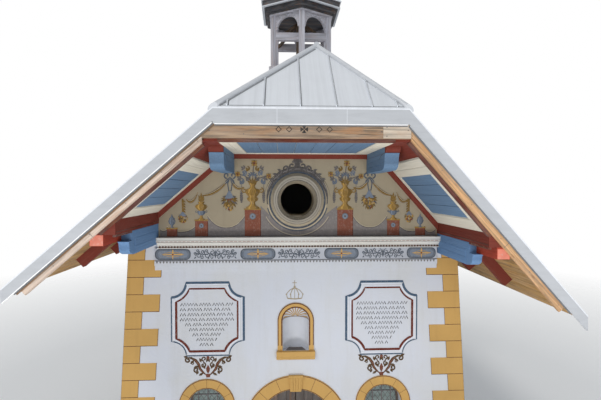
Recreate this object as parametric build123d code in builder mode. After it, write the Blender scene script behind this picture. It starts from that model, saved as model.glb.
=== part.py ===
import os
from math import atan2, cos, degrees, radians, sin, tan

from build123d import *

os.makedirs("parts", exist_ok=True)

LEFT, RIGHT = -1, 1
FRONT, REAR = -1, 1

# Walls: the facade faces -Y, X = 0 is the middle of its door, the ground is Z = 0
nave_length = 8000.0
nave_half_width = 3000.0
wall_thickness = 600.0
wall_batter = 0.06
floor_thickness = 120.0

# Door: an arched opening with two leaves that fold inwards
door_radius = 700.0
door_spring = 1560.0
door_reveal = 250.0
door_ring = 260.0
embrasure_arch_height = 90.0
leaf_head_clearance = 60.0
pintle_reach = 55.0
wall_split_margin = 20.0
keystone_top_width = 250.0
keystone_bottom_width = 200.0
keystone_drop = 30.0
keystone_proud = 45.0

# Door leaves and their pintles
leaf_thickness = 60.0
leaf_lap = 50.0
leaf_gap = 12.0
leaf_stop_clearance = 8.0
leaf_floor_clearance = 10.0
hinge_heights = (480.0, 1440.0)
pin_radius = 12.0
pin_clearance = 0.3
pin_length = 90.0
pin_offset = 55.0
eye_radius = 24.0
eye_height = 60.0
strap_length = 430.0
strap_thickness = 8.0
pintle_shoulder = 30.0
pintle_tail = 26.0
ledge_thickness = 28.0
ledge_height = 110.0
ledge_drop = 110.0
ledge_margin = 70.0

# Windows: one in each front bay and one in each side wall
window_radius = 340.0
window_spring = 1970.0
window_sill = 1000.0
window_x = 1610.0
window_ring = 170.0
pane_thickness = 20.0
pane_depth = 210.0

# Trim that stands out of the facade
ring_proud = 18.0
niche_radius = 240.0
niche_spring = 3520.0
niche_floor = 2970.0
niche_ring_width = 90.0
niche_sill_height = 160.0
niche_sill_proud = 70.0
niche_sill_wide = 350.0
oculus_x = 30.0
oculus_drop = 40.0
oculus_radius = 305.0
oculus_chord = 285.0
oculus_ring_width = 180.0
oculus_proud = 60.0
oculus_chamfer = 50.0
left_entablature_overrun = 60.0
right_entablature_gap = 20.0
architrave_height = 165.0
architrave_proud = 55.0
frieze_height = 235.0
frieze_proud = 35.0
cornice_height = 190.0
cornice_gap = 45.2
cornice_proud = 150.0
cornice_drip = 85.0

# Roof: unequal pitches, so the ridge lies to the right of the door's axis
ridge_x = 320.0
ridge_z = 8270.0
left_pitch_angle = 41.0
right_pitch_angle = 48.3
hip_pitch_angle = 44.0
hip_eave_z = 6990.0
left_eave_overhang = 880.0
right_eave_overhang = 980.0
front_overhang = 1930.0
rear_overhang = 600.0
metal_thickness = 15.0
deck_thickness = 40.0
rafter_depth = 175.0
rafter_width = 110.0
rafter_spacing = 1315.0
first_rafter = 1400.0
last_rafter = 1240.0
rafter_setback = 250.0
plate_width = 180.0
plate_height = 190.0
left_plate_offset = 290.0
right_plate_offset = 410.0
left_purlin_x = -1100.0
right_purlin_x = 1290.0
purlin_clearance = 0.2
ridge_roll_radius = 48.0
hip_roll_radius = 42.0
roll_clearance = 0.3
roll_overrun = 60.0

# Roof edge
fascia_thickness = 25.0
fascia_depth = 140.0
hip_fascia_height = 215.0
barge_thickness = 45.0
barge_depth = 262.0
left_barge_setback = 160.0
right_barge_setback = 240.0
tie_beam_bottom = 6585.0
tie_beam_height = 205.0
tie_beam_thickness = 150.0
tie_beam_left = -1300.0
tie_beam_right = 1495.0

# Boarded overhang
soffit_thickness = 40.0
casing_width = 385.0
casing_thickness = 26.0
panel_recess = 14.0
flat_panel_margin = 237.0
left_soffit_offset = 40.0
right_soffit_offset = 200.0
panel_inner_margin = 195.0
panel_outer_margin = 155.0
panel_front_margin = 250.0
panel_rear_margin = 185.0
rake_height = 85.0
rake_proud = 60.0
band_height = 260.0
band_thickness = 40.0
console_setback = 10.0
console_width = 150.0
console_height = 360.0
console_length = 1420.0
console_cheek_length = 1270.0
nose_length = 270.0
nose_height = 100.0
nose_hollow = 60.0
upper_console_width = 215.0
upper_console_height = 250.0
upper_console_length = 1340.0
cushion_height = 95.0
cushion_overrun = 60.0

# Belfry: a hexagon with a corner to the front
belfry_x = 142.0
belfry_setback = 1300.0
belfry_radius = 680.0
belfry_base_margin = 60.0
belfry_base_rise = 110.0
post_width = 112.0
belfry_beam_bottom = 8930.0
belfry_beam_height = 155.0
belfry_beam_width = 90.0
arch_bottom = 9120.0
arch_top = 9412.0
arch_end = 24.0
arch_board = 45.0
eave_steps = ((720.0, 58.0), (794.0, 76.0), (887.0, 120.0))
spire_sections = ((925.0, 0.0), (560.0, 330.0), (330.0, 800.0), (60.0, 1560.0))
finial_ball = 95.0
finial_stem = 28.0
finial_height = 260.0
finial_gores = 12
finial_band_angle = 30.0
finial_bands = 2
cross_height = 520.0
cross_width = 340.0
cross_bar = 46.0
cross_rise = 330.0

# Places that follow from the sizes
front_y = -nave_length / 2
rear_y = nave_length / 2
front_verge = front_y - front_overhang
rear_verge = rear_y + rear_overhang
inner_half_width = nave_half_width - wall_thickness
door_crown = door_spring + door_radius
leaf_radius = door_radius + leaf_lap
pin_x = leaf_radius + pin_offset
embrasure_half_width = pin_x + pintle_reach
embrasure_spring = door_crown + leaf_lap + leaf_head_clearance
wall_split_half_width = door_radius + door_ring + wall_split_margin
left_eave_x = -nave_half_width - left_eave_overhang
right_eave_x = nave_half_width + right_eave_overhang
hip_run = (ridge_z - hip_eave_z) / tan(radians(hip_pitch_angle))
front_apex = front_verge + hip_run
rear_apex = rear_verge - hip_run
deck_under = metal_thickness + deck_thickness
pitch = {LEFT: left_pitch_angle, RIGHT: right_pitch_angle}
eave_x = {LEFT: left_eave_x, RIGHT: right_eave_x}
plate_x = {LEFT: -inner_half_width - left_plate_offset, RIGHT: inner_half_width + right_plate_offset}
rafter_under = deck_under + rafter_depth
soffit_under = rafter_under + soffit_thickness
purlin_top = rafter_under + purlin_clearance
soffit_z = tie_beam_bottom - soffit_thickness
soffit_outer = {LEFT: -inner_half_width - left_soffit_offset, RIGHT: inner_half_width + right_soffit_offset}
tie_beam_end = {LEFT: tie_beam_left, RIGHT: tie_beam_right}
barge_end = {LEFT: left_eave_x + left_barge_setback, RIGHT: right_eave_x - right_barge_setback}
purlin_x = {LEFT: left_purlin_x, RIGHT: right_purlin_x}
casing_outer = {side: purlin_x[side] + side * casing_width for side in (LEFT, RIGHT)}
console_inner = {side: soffit_outer[side] + side * console_setback for side in (LEFT, RIGHT)}
entablature_left = console_inner[LEFT] - left_entablature_overrun
entablature_right = console_inner[RIGHT] - right_entablature_gap
entablature_length = entablature_right - entablature_left
side_name = {LEFT: "left", RIGHT: "right"}


def slope_z(side, x, depth=0.0):
    """Height of a slope at x, or of the layer that lies depth under it, square to it."""
    angle = radians(pitch[side])
    return ridge_z - tan(angle) * abs(x - ridge_x) - depth / cos(angle)


def slope_x(side, z, depth=0.0):
    """Where a slope, or the layer depth under it, has the height z."""
    angle = radians(pitch[side])
    return ridge_x + side * (ridge_z - depth / cos(angle) - z) / tan(angle)


def slope_plane(side, depth=0.0):
    """The plane of a slope, facing up, or of the layer depth under it."""
    angle = radians(pitch[side])
    origin = (ridge_x, 0, ridge_z)
    return Plane(origin=origin, x_dir=(0, 1, 0), z_dir=(side * sin(angle), 0, cos(angle))).offset(-depth)


def square_cut(side, x):
    """The plane square to a slope that meets the underside of the boarding at x, facing the eave."""
    angle = radians(pitch[side])
    origin = (x, 0, slope_z(side, x, deck_under))
    return Plane(origin=origin, x_dir=(0, 1, 0), z_dir=(side * cos(angle), 0, -sin(angle)))


def hip_plane(end, depth=0.0):
    """The plane of the front or rear hip, facing up, or of the layer depth under it."""
    angle = radians(hip_pitch_angle)
    origin = (ridge_x, front_apex if end == FRONT else rear_apex, ridge_z)
    return Plane(origin=origin, x_dir=(1, 0, 0), z_dir=(0, end * sin(angle), cos(angle))).offset(-depth)


# The bands under the eaves carry the heights of the cornice and of what lies under it
band_bottom = {side: slope_z(side, soffit_outer[side], rafter_under) - band_height for side in (LEFT, RIGHT)}
cornice_top = band_bottom[RIGHT] - cornice_gap
cornice_bottom = cornice_top - cornice_height
frieze_bottom = cornice_bottom - frieze_height
entablature_bottom = frieze_bottom - architrave_height
oculus_z = (cornice_top + soffit_z - rake_height) / 2 - oculus_drop


def upright(y):
    """A plane parallel to the facade at y: extrusions with a minus sign go inwards."""
    return Plane.XZ.offset(-y)


def outer_x(z):
    """Half width of the battered walls at the height z."""
    return nave_half_width + wall_batter * (entablature_bottom - z)


def save(name, part):
    """Label a finished piece and write it."""
    part.label = name
    export_step(part, f"parts/{name}.step")


def layer(side, top, bottom, inner, outer, y0, y1):
    """A slab that follows a slope between two depths, from y0 to y1."""
    corners = [
        (outer, slope_z(side, outer, top)),
        (inner, slope_z(side, inner, top)),
        (inner, slope_z(side, inner, bottom)),
        (outer, slope_z(side, outer, bottom)),
    ]
    with BuildPart() as slab:
        with BuildSketch(upright(y0)):
            Polygon(*corners, align=None)
        extrude(amount=y0 - y1)
    return slab.part


def arched_block(x, bottom, spring, radius, y0, y1):
    """The block that fills an arched opening, used to cut it."""
    with BuildPart() as block:
        with BuildSketch(upright(y0)):
            with Locations((x, spring)):
                Circle(radius)
            with Locations((x, (bottom + spring) / 2)):
                Rectangle(2 * radius, spring - bottom)
        extrude(amount=y0 - y1)
    return block.part


def purlin_section(side):
    """Corners of an upper purlin: level below, upright inside, trimmed to the rafters above."""
    inner = purlin_x[side]
    return [
        (inner, soffit_z),
        (inner, slope_z(side, inner, purlin_top)),
        (slope_x(side, soffit_z, purlin_top), soffit_z),
    ]


def bracket(x, width, length, top, height):
    """A bracket on the facade with a level underside, a round nose and a hollow above it."""
    bottom = top - height
    nose_y = front_y - length
    nose_z = bottom + nose_height
    with BuildPart() as shape:
        with BuildSketch(Plane.YZ.offset(x)):
            with BuildLine():
                Polyline((nose_y, top), (front_y, top), (front_y, bottom), (nose_y + nose_length, bottom))
                EllipticalCenterArc(
                    (nose_y + nose_length, nose_z),
                    nose_length - nose_hollow,
                    nose_height,
                    start_angle=180,
                    arc_size=90,
                )
                EllipticalCenterArc(
                    (nose_y, nose_z),
                    nose_hollow,
                    top - nose_z,
                    start_angle=0,
                    arc_size=90,
                )
            make_face()
        extrude(amount=width)
    return shape.part


# Floor: the paving inside the walls and the threshold under the leaves
with BuildPart() as floor_slab:
    with BuildSketch():
        Rectangle(2 * inner_half_width, nave_length - 2 * wall_thickness)
        with Locations((0, front_y + (door_reveal + wall_thickness) / 2)):
            Rectangle(2 * embrasure_half_width, wall_thickness - door_reveal)
        with Locations((0, front_y + door_reveal / 2)):
            Rectangle(2 * door_radius, door_reveal)
    extrude(amount=floor_thickness)
save("floor_slab", floor_slab.part)

# Front wall beside the door, with a window in each bay
for side in (LEFT, RIGHT):
    with BuildPart() as front_wall:
        with BuildSketch(upright(front_y)):
            Polygon(
                (side * door_radius, 0),
                (side * outer_x(0), 0),
                (side * outer_x(entablature_bottom), entablature_bottom),
                (side * wall_split_half_width, entablature_bottom),
                (side * wall_split_half_width, door_spring),
                (side * door_radius, door_spring),
                align=None,
            )
        extrude(amount=-wall_thickness)
        with BuildSketch(upright(front_y + door_reveal)):
            with Locations((side * (door_radius + embrasure_half_width) / 2, door_spring / 2)):
                Rectangle(embrasure_half_width - door_radius, door_spring)
        extrude(amount=-(wall_thickness - door_reveal), mode=Mode.SUBTRACT)
        add(
            arched_block(
                side * window_x, window_sill, window_spring, window_radius, front_y, front_y + wall_thickness
            ),
            mode=Mode.SUBTRACT,
        )
    save(f"front_wall_{side_name[side]}", front_wall.part)

# Front wall over the door, with the niche: half a cylinder under a quarter of a sphere
embrasure_radius = (embrasure_half_width**2 + embrasure_arch_height**2) / (2 * embrasure_arch_height)
with BuildPart() as front_wall_over_door:
    with BuildSketch(upright(front_y)):
        with Locations((0, (door_spring + entablature_bottom) / 2)):
            Rectangle(2 * wall_split_half_width, entablature_bottom - door_spring)
        with Locations((0, door_spring)):
            Circle(door_radius, mode=Mode.SUBTRACT)
    extrude(amount=-wall_thickness)
    with BuildSketch(upright(front_y + door_reveal)):
        with Locations((0, embrasure_spring + embrasure_arch_height - embrasure_radius)):
            Circle(embrasure_radius)
        with Locations((0, (door_spring + embrasure_spring + embrasure_arch_height) / 2)):
            Rectangle(
                2 * embrasure_half_width,
                embrasure_spring + embrasure_arch_height - door_spring,
                mode=Mode.INTERSECT,
            )
    extrude(amount=-(wall_thickness - door_reveal), mode=Mode.SUBTRACT)
    with Locations((0, front_y, niche_floor)):
        Cylinder(
            niche_radius,
            niche_spring - niche_floor,
            align=(Align.CENTER, Align.CENTER, Align.MIN),
            mode=Mode.SUBTRACT,
        )
    with Locations((0, front_y, niche_spring)):
        Sphere(niche_radius, mode=Mode.SUBTRACT)
save("front_wall_over_door", front_wall_over_door.part)

# Gable wall behind the painted tympanum, with the oculus and a seat for each wall plate
plate_top = {side: slope_z(side, plate_x[side], rafter_under) for side in (LEFT, RIGHT)}
with BuildPart() as gable_wall:
    with BuildSketch(upright(front_y)):
        Polygon(
            (-outer_x(entablature_bottom), entablature_bottom),
            (outer_x(entablature_bottom), entablature_bottom),
            (outer_x(ridge_z), ridge_z),
            (-outer_x(ridge_z), ridge_z),
            align=None,
        )
        for side in (LEFT, RIGHT):
            with Locations((plate_x[side], plate_top[side] - plate_height / 2)):
                Rectangle(plate_width, plate_height, mode=Mode.SUBTRACT)
            Polygon(*purlin_section(side), align=None, mode=Mode.SUBTRACT)
    extrude(amount=-wall_thickness)
    with BuildSketch(upright(front_y)):
        with Locations((oculus_x, oculus_z)):
            Circle(oculus_radius)
        with Locations((oculus_x, oculus_z - oculus_chord)):
            Rectangle(
                2 * oculus_radius,
                oculus_radius + oculus_chord,
                align=(Align.CENTER, Align.MIN),
                mode=Mode.INTERSECT,
            )
    extrude(amount=-wall_thickness, mode=Mode.SUBTRACT)
    split(bisect_by=slope_plane(LEFT, rafter_under), keep=Keep.BOTTOM)
    split(bisect_by=slope_plane(RIGHT, rafter_under), keep=Keep.BOTTOM)
save("gable_wall", gable_wall.part)

# Rear wall: plain, up to the hip
with BuildPart() as rear_wall:
    with BuildSketch(upright(rear_y)):
        Polygon(
            (-outer_x(0), 0),
            (outer_x(0), 0),
            (outer_x(ridge_z), ridge_z),
            (-outer_x(ridge_z), ridge_z),
            align=None,
        )
        for side in (LEFT, RIGHT):
            with Locations((plate_x[side], plate_top[side] - plate_height / 2)):
                Rectangle(plate_width, plate_height, mode=Mode.SUBTRACT)
            Polygon(*purlin_section(side), align=None, mode=Mode.SUBTRACT)
    extrude(amount=wall_thickness)
    split(bisect_by=slope_plane(LEFT, rafter_under), keep=Keep.BOTTOM)
    split(bisect_by=slope_plane(RIGHT, rafter_under), keep=Keep.BOTTOM)
    split(bisect_by=hip_plane(REAR, deck_under), keep=Keep.BOTTOM)
save("rear_wall", rear_wall.part)

# Side walls: battered outside, upright inside, with one window each
for side in (LEFT, RIGHT):
    wall_top = plate_top[side] - plate_height
    with BuildPart() as side_wall:
        with BuildSketch(upright(front_y + wall_thickness)):
            Polygon(
                (side * inner_half_width, 0),
                (side * outer_x(0), 0),
                (side * outer_x(wall_top), wall_top),
                (side * inner_half_width, wall_top),
                align=None,
            )
        extrude(amount=-(nave_length - 2 * wall_thickness))
        with BuildSketch(Plane.YZ.offset(side * inner_half_width)):
            with Locations((0, window_spring)):
                Circle(window_radius)
            with Locations((0, (window_sill + window_spring) / 2)):
                Rectangle(2 * window_radius, window_spring - window_sill)
        extrude(amount=side * 2 * wall_thickness, mode=Mode.SUBTRACT)
        split(bisect_by=slope_plane(side, rafter_under), keep=Keep.BOTTOM)
    save(f"side_wall_{side_name[side]}", side_wall.part)

# Window panes: one arched sheet in each of the four openings
with BuildPart() as window_panes:
    for side in (LEFT, RIGHT):
        with BuildSketch(upright(front_y + pane_depth)):
            with Locations((side * window_x, window_spring)):
                Circle(window_radius)
            with Locations((side * window_x, (window_sill + window_spring) / 2)):
                Rectangle(2 * window_radius, window_spring - window_sill)
        extrude(amount=-pane_thickness)
        with BuildSketch(Plane.YZ.offset(side * (nave_half_width - pane_depth))):
            with Locations((0, window_spring)):
                Circle(window_radius)
            with Locations((0, (window_sill + window_spring) / 2)):
                Rectangle(2 * window_radius, window_spring - window_sill)
        extrude(amount=-side * pane_thickness)
save("window_panes", window_panes.part)

# Door surround: a flat ring on the wall with jambs to the ground and a keystone
with BuildPart() as door_surround:
    with BuildSketch(upright(front_y)):
        with Locations((0, door_spring)):
            Circle(door_radius + door_ring)
        with Locations((0, door_spring / 2)):
            Rectangle(2 * (door_radius + door_ring), door_spring)
        with Locations((0, door_spring)):
            Circle(door_radius, mode=Mode.SUBTRACT)
        with Locations((0, door_spring / 2)):
            Rectangle(2 * door_radius, door_spring, mode=Mode.SUBTRACT)
    extrude(amount=ring_proud)
    with BuildSketch(upright(front_y)):
        Polygon(
            (-keystone_bottom_width / 2, door_crown - keystone_drop),
            (keystone_bottom_width / 2, door_crown - keystone_drop),
            (keystone_top_width / 2, door_crown + door_ring),
            (-keystone_top_width / 2, door_crown + door_ring),
            align=None,
        )
    extrude(amount=keystone_proud)
save("door_surround", door_surround.part)

# Window surrounds: a flat ring with jambs and a plain sill
for side in (LEFT, RIGHT):
    with BuildPart() as window_surround:
        with BuildSketch(upright(front_y)):
            with Locations((side * window_x, window_spring)):
                Circle(window_radius + window_ring)
            with Locations((side * window_x, (window_sill - window_ring + window_spring) / 2)):
                Rectangle(2 * (window_radius + window_ring), window_spring - window_sill + window_ring)
            with Locations((side * window_x, window_spring)):
                Circle(window_radius, mode=Mode.SUBTRACT)
            with Locations((side * window_x, (window_sill + window_spring) / 2)):
                Rectangle(2 * window_radius, window_spring - window_sill, mode=Mode.SUBTRACT)
        extrude(amount=ring_proud)
    save(f"window_surround_{side_name[side]}", window_surround.part)

# Niche surround: an arched band on a sill that flares outwards
with BuildPart() as niche_surround:
    with BuildSketch(upright(front_y)):
        with Locations((0, niche_spring)):
            Circle(niche_radius + niche_ring_width)
        with Locations((0, (niche_floor + niche_spring) / 2)):
            Rectangle(2 * (niche_radius + niche_ring_width), niche_spring - niche_floor)
        with Locations((0, niche_spring)):
            Circle(niche_radius, mode=Mode.SUBTRACT)
        with Locations((0, (niche_floor + niche_spring) / 2)):
            Rectangle(2 * niche_radius, niche_spring - niche_floor, mode=Mode.SUBTRACT)
    extrude(amount=ring_proud)
    with BuildSketch(Plane.YZ.offset(-niche_sill_wide)):
        Polygon(
            (front_y, niche_floor - niche_sill_height),
            (front_y - ring_proud, niche_floor - niche_sill_height),
            (front_y - niche_sill_proud, niche_floor - niche_sill_height / 2),
            (front_y - niche_sill_proud, niche_floor),
            (front_y, niche_floor),
            align=None,
        )
    extrude(amount=2 * niche_sill_wide)
save("niche_surround", niche_surround.part)

# Oculus moulding: a ring of flats and chamfers turned about the axis of the hole
oculus_inner = oculus_x + oculus_radius
oculus_outer = oculus_inner + oculus_ring_width
with BuildPart() as oculus_moulding:
    with BuildSketch(Plane.XY.offset(oculus_z)):
        Polygon(
            (oculus_inner, front_y),
            (oculus_inner, front_y - oculus_proud / 3),
            (oculus_inner + oculus_chamfer, front_y - oculus_proud),
            (oculus_outer - oculus_chamfer, front_y - oculus_proud),
            (oculus_outer, front_y),
            align=None,
        )
    revolve(axis=Axis((oculus_x, 0, oculus_z), (0, 1, 0)))
save("oculus_moulding", oculus_moulding.part)

# Entablature: architrave in two steps, flat frieze, and a cornice with a hollow and a drip
with BuildPart() as architrave:
    with BuildSketch(Plane.YZ.offset(entablature_left)):
        Polygon(
            (front_y, entablature_bottom),
            (front_y - architrave_proud / 2, entablature_bottom),
            (front_y - architrave_proud / 2, entablature_bottom + architrave_height / 2),
            (front_y - architrave_proud, entablature_bottom + architrave_height / 2),
            (front_y - architrave_proud, frieze_bottom),
            (front_y, frieze_bottom),
            align=None,
        )
    extrude(amount=entablature_length)
save("architrave", architrave.part)

with BuildPart() as frieze:
    with BuildSketch(Plane.YZ.offset(entablature_left)):
        Polygon(
            (front_y, frieze_bottom),
            (front_y - frieze_proud, frieze_bottom),
            (front_y - frieze_proud, cornice_bottom),
            (front_y, cornice_bottom),
            align=None,
        )
    extrude(amount=entablature_length)
save("frieze", frieze.part)

cornice_hollow = cornice_height - cornice_drip
with BuildPart() as cornice:
    with BuildSketch(Plane.YZ.offset(console_inner[LEFT])):
        with BuildLine():
            Polyline(
                (front_y, cornice_top),
                (front_y, cornice_bottom),
                (front_y - frieze_proud - ring_proud, cornice_bottom),
            )
            ThreePointArc(
                (front_y - frieze_proud - ring_proud, cornice_bottom),
                (
                    front_y - (frieze_proud + ring_proud + cornice_proud) / 2 + ring_proud,
                    cornice_bottom + cornice_hollow / 2 + ring_proud,
                ),
                (front_y - cornice_proud, cornice_bottom + cornice_hollow),
            )
            Polyline(
                (front_y - cornice_proud, cornice_bottom + cornice_hollow),
                (front_y - cornice_proud, cornice_top),
                (front_y, cornice_top),
            )
        make_face()
    extrude(amount=console_inner[RIGHT] - console_inner[LEFT])
save("cornice", cornice.part)

# Door leaves: boards cut to the arch, with ledges, a brace and two straps with eyes behind
leaf_front = front_y + door_reveal + leaf_stop_clearance
leaf_back = leaf_front + leaf_thickness
leaf_bottom = floor_thickness + leaf_floor_clearance
ledge_foot = hinge_heights[0] - ledge_drop + ledge_height / 2
ledge_head = hinge_heights[1] - ledge_drop - ledge_height / 2
pin_y = leaf_back + eye_radius
for side in (LEFT, RIGHT):
    with BuildPart() as door_leaf:
        with BuildSketch(upright(leaf_front)):
            with Locations((0, door_spring)):
                Circle(leaf_radius)
            with Locations((0, (leaf_bottom + door_spring) / 2)):
                Rectangle(2 * leaf_radius, door_spring - leaf_bottom)
            with Locations((side * (leaf_gap / 2 + leaf_radius / 2), (leaf_bottom + door_crown + leaf_lap) / 2)):
                Rectangle(leaf_radius, door_crown + leaf_lap - leaf_bottom, mode=Mode.INTERSECT)
        extrude(amount=-leaf_thickness)
        with BuildSketch(upright(leaf_back)):
            for height in hinge_heights:
                with Locations((side * (leaf_gap / 2 + leaf_radius / 2), height - ledge_drop)):
                    Rectangle(leaf_radius - leaf_gap / 2 - 2 * ledge_margin, ledge_height)
            Polygon(
                (side * (leaf_radius - ledge_margin), ledge_foot),
                (side * (leaf_radius - ledge_margin - ledge_height), ledge_foot),
                (side * (leaf_gap / 2 + ledge_margin), ledge_head),
                (side * (leaf_gap / 2 + ledge_margin + ledge_height), ledge_head),
                align=None,
            )
        extrude(amount=-ledge_thickness)
        for height in hinge_heights:
            with BuildSketch(upright(leaf_back)):
                with Locations((side * (pin_x - strap_length / 2), height)):
                    Rectangle(strap_length, eye_height)
            extrude(amount=-strap_thickness)
            with BuildSketch(Plane.XY.offset(height - eye_height / 2)):
                with Locations((side * pin_x, pin_y)):
                    Circle(eye_radius)
                with Locations((side * pin_x, leaf_back + strap_thickness / 2)):
                    Rectangle(eye_radius, strap_thickness)
            extrude(amount=eye_height)
            with BuildSketch(Plane.XY.offset(height - eye_height / 2)):
                with Locations((side * pin_x, pin_y)):
                    Circle(pin_radius + pin_clearance)
            extrude(amount=eye_height, mode=Mode.SUBTRACT)
    save(f"door_leaf_{side_name[side]}", door_leaf.part)

# Pintles: pins on shoulders whose tails enter the jambs of the embrasure
with BuildPart() as door_pintles:
    for side in (LEFT, RIGHT):
        for height in hinge_heights:
            eye_bottom = height - eye_height / 2
            with BuildSketch(Plane.XY.offset(eye_bottom - pin_clearance - pintle_shoulder)):
                with Locations((side * pin_x, pin_y)):
                    Circle(eye_radius)
                with Locations((side * (pin_x + embrasure_half_width) / 2, pin_y)):
                    Rectangle(embrasure_half_width - pin_x, pintle_tail)
            extrude(amount=pintle_shoulder)
            with BuildSketch(Plane.XY.offset(eye_bottom - pin_clearance)):
                with Locations((side * pin_x, pin_y)):
                    Circle(pin_radius)
            extrude(amount=pin_length)
save("door_pintles", door_pintles.part)

# Wall plates: they lie on the side walls and run out under both overhangs
plate_front = front_verge + fascia_thickness + barge_thickness
plate_rear = rear_verge - fascia_thickness - barge_thickness
for side in (LEFT, RIGHT):
    with BuildPart() as wall_plate:
        with BuildSketch(upright(plate_front)):
            with Locations((plate_x[side], plate_top[side] - plate_height / 2)):
                Rectangle(plate_width, plate_height)
        extrude(amount=plate_front - plate_rear)
    save(f"wall_plate_{side_name[side]}", wall_plate.part)

# Rafters: notched over the plates, cut square short of the eave and running up to the ridge
rafter_run = rear_verge - last_rafter - front_verge - first_rafter
rafter_bays = round(rafter_run / rafter_spacing)
for side in (LEFT, RIGHT):
    with BuildPart() as rafters:
        for number in range(rafter_bays + 1):
            y = front_verge + first_rafter + number * rafter_run / rafter_bays
            with BuildSketch(upright(y)):
                Polygon(
                    (eave_x[side], slope_z(side, eave_x[side], deck_under)),
                    (ridge_x, slope_z(side, ridge_x, deck_under)),
                    (ridge_x, slope_z(side, ridge_x, rafter_under)),
                    (eave_x[side], slope_z(side, eave_x[side], rafter_under)),
                    align=None,
                )
                with Locations((plate_x[side], plate_top[side] - plate_height / 2)):
                    Rectangle(plate_width, plate_height, mode=Mode.SUBTRACT)
            extrude(amount=-rafter_width)
        split(bisect_by=square_cut(side, eave_x[side] - side * rafter_setback), keep=Keep.BOTTOM)
        split(bisect_by=hip_plane(FRONT, deck_under), keep=Keep.BOTTOM)
        split(bisect_by=hip_plane(REAR, deck_under), keep=Keep.BOTTOM)
    save(f"rafters_{side_name[side]}", rafters.part)

# Outer form of the roof, used to trim what sits on it
with BuildPart() as roof_body:
    with BuildSketch(upright(front_verge)):
        Polygon(
            (ridge_x, ridge_z),
            (left_eave_x, slope_z(LEFT, left_eave_x)),
            (right_eave_x, slope_z(RIGHT, right_eave_x)),
            align=None,
        )
    extrude(amount=front_verge - rear_verge)
    split(bisect_by=hip_plane(FRONT), keep=Keep.BOTTOM)
    split(bisect_by=hip_plane(REAR), keep=Keep.BOTTOM)

# Roof metal and the boards under it: each slope is cut by the hips, each hip by the slopes
deck_front = front_verge + fascia_thickness
deck_rear = rear_verge - fascia_thickness
for side in (LEFT, RIGHT):
    with BuildPart() as roof_metal:
        add(layer(side, 0, metal_thickness, ridge_x, eave_x[side], front_verge, rear_verge))
        split(bisect_by=hip_plane(FRONT), keep=Keep.BOTTOM)
        split(bisect_by=hip_plane(REAR), keep=Keep.BOTTOM)
    save(f"roof_metal_{side_name[side]}", roof_metal.part)
    with BuildPart() as roof_deck:
        add(layer(side, metal_thickness, deck_under, ridge_x, eave_x[side], deck_front, deck_rear))
        split(bisect_by=hip_plane(FRONT, metal_thickness), keep=Keep.BOTTOM)
        split(bisect_by=hip_plane(REAR, metal_thickness), keep=Keep.BOTTOM)
    save(f"roof_deck_{side_name[side]}", roof_deck.part)


def hip_layer(end, top, bottom, verge, under):
    """A slab that follows a hip between two depths and stays under the slopes' layer."""
    angle = radians(hip_pitch_angle)
    apex = front_apex if end == FRONT else rear_apex
    fall = tan(angle) * abs(apex - verge)
    corners = [
        (apex, ridge_z - top / cos(angle)),
        (verge, ridge_z - fall - top / cos(angle)),
        (verge, ridge_z - fall - bottom / cos(angle)),
        (apex, ridge_z - bottom / cos(angle)),
    ]
    with BuildPart() as slab:
        with BuildSketch(Plane.YZ.offset(left_eave_x)):
            Polygon(*corners, align=None)
        extrude(amount=right_eave_x - left_eave_x)
        split(bisect_by=slope_plane(LEFT, under), keep=Keep.BOTTOM)
        split(bisect_by=slope_plane(RIGHT, under), keep=Keep.BOTTOM)
    return slab.part


with BuildPart() as roof_metal_hips:
    add(hip_layer(FRONT, 0, metal_thickness, front_verge, metal_thickness))
    add(hip_layer(REAR, 0, metal_thickness, rear_verge, metal_thickness))
save("roof_metal_hips", roof_metal_hips.part)

with BuildPart() as roof_deck_hips:
    add(hip_layer(FRONT, metal_thickness, deck_under, deck_front, deck_under))
    add(hip_layer(REAR, metal_thickness, deck_under, deck_rear, deck_under))
save("roof_deck_hips", roof_deck_hips.part)

# Verge fascias: folded metal under the edge of the skin, sloping at the verges and level at the hip
hip_corner = {side: slope_x(side, hip_eave_z) for side in (LEFT, RIGHT)}
hip_skin_under = hip_eave_z - metal_thickness / cos(radians(hip_pitch_angle))
with BuildPart() as verge_fascias:
    for y0, y1 in ((front_verge, deck_front), (deck_rear, rear_verge)):
        for side in (LEFT, RIGHT):
            add(layer(side, metal_thickness, fascia_depth, hip_corner[side], eave_x[side], y0, y1))
        with BuildSketch(upright(y0)):
            Polygon(
                (hip_corner[LEFT], hip_skin_under),
                (hip_corner[RIGHT], hip_skin_under),
                (hip_corner[RIGHT], hip_eave_z - hip_fascia_height),
                (hip_corner[LEFT], hip_eave_z - hip_fascia_height),
                align=None,
            )
        extrude(amount=y0 - y1)
    for plane in (
        hip_plane(FRONT, metal_thickness),
        hip_plane(REAR, metal_thickness),
        slope_plane(LEFT, metal_thickness),
        slope_plane(RIGHT, metal_thickness),
    ):
        split(bisect_by=plane, keep=Keep.BOTTOM)
save("verge_fascias", verge_fascias.part)

# Barge boards, cut square short of the eaves, and tie beams at both ends
for side in (LEFT, RIGHT):
    with BuildPart() as barge_board:
        for y0, y1 in ((deck_front, plate_front), (plate_rear, deck_rear)):
            add(layer(side, deck_under, barge_depth, tie_beam_end[side], eave_x[side], y0, y1))
        split(bisect_by=square_cut(side, barge_end[side]), keep=Keep.BOTTOM)
    save(f"barge_board_{side_name[side]}", barge_board.part)

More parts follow.
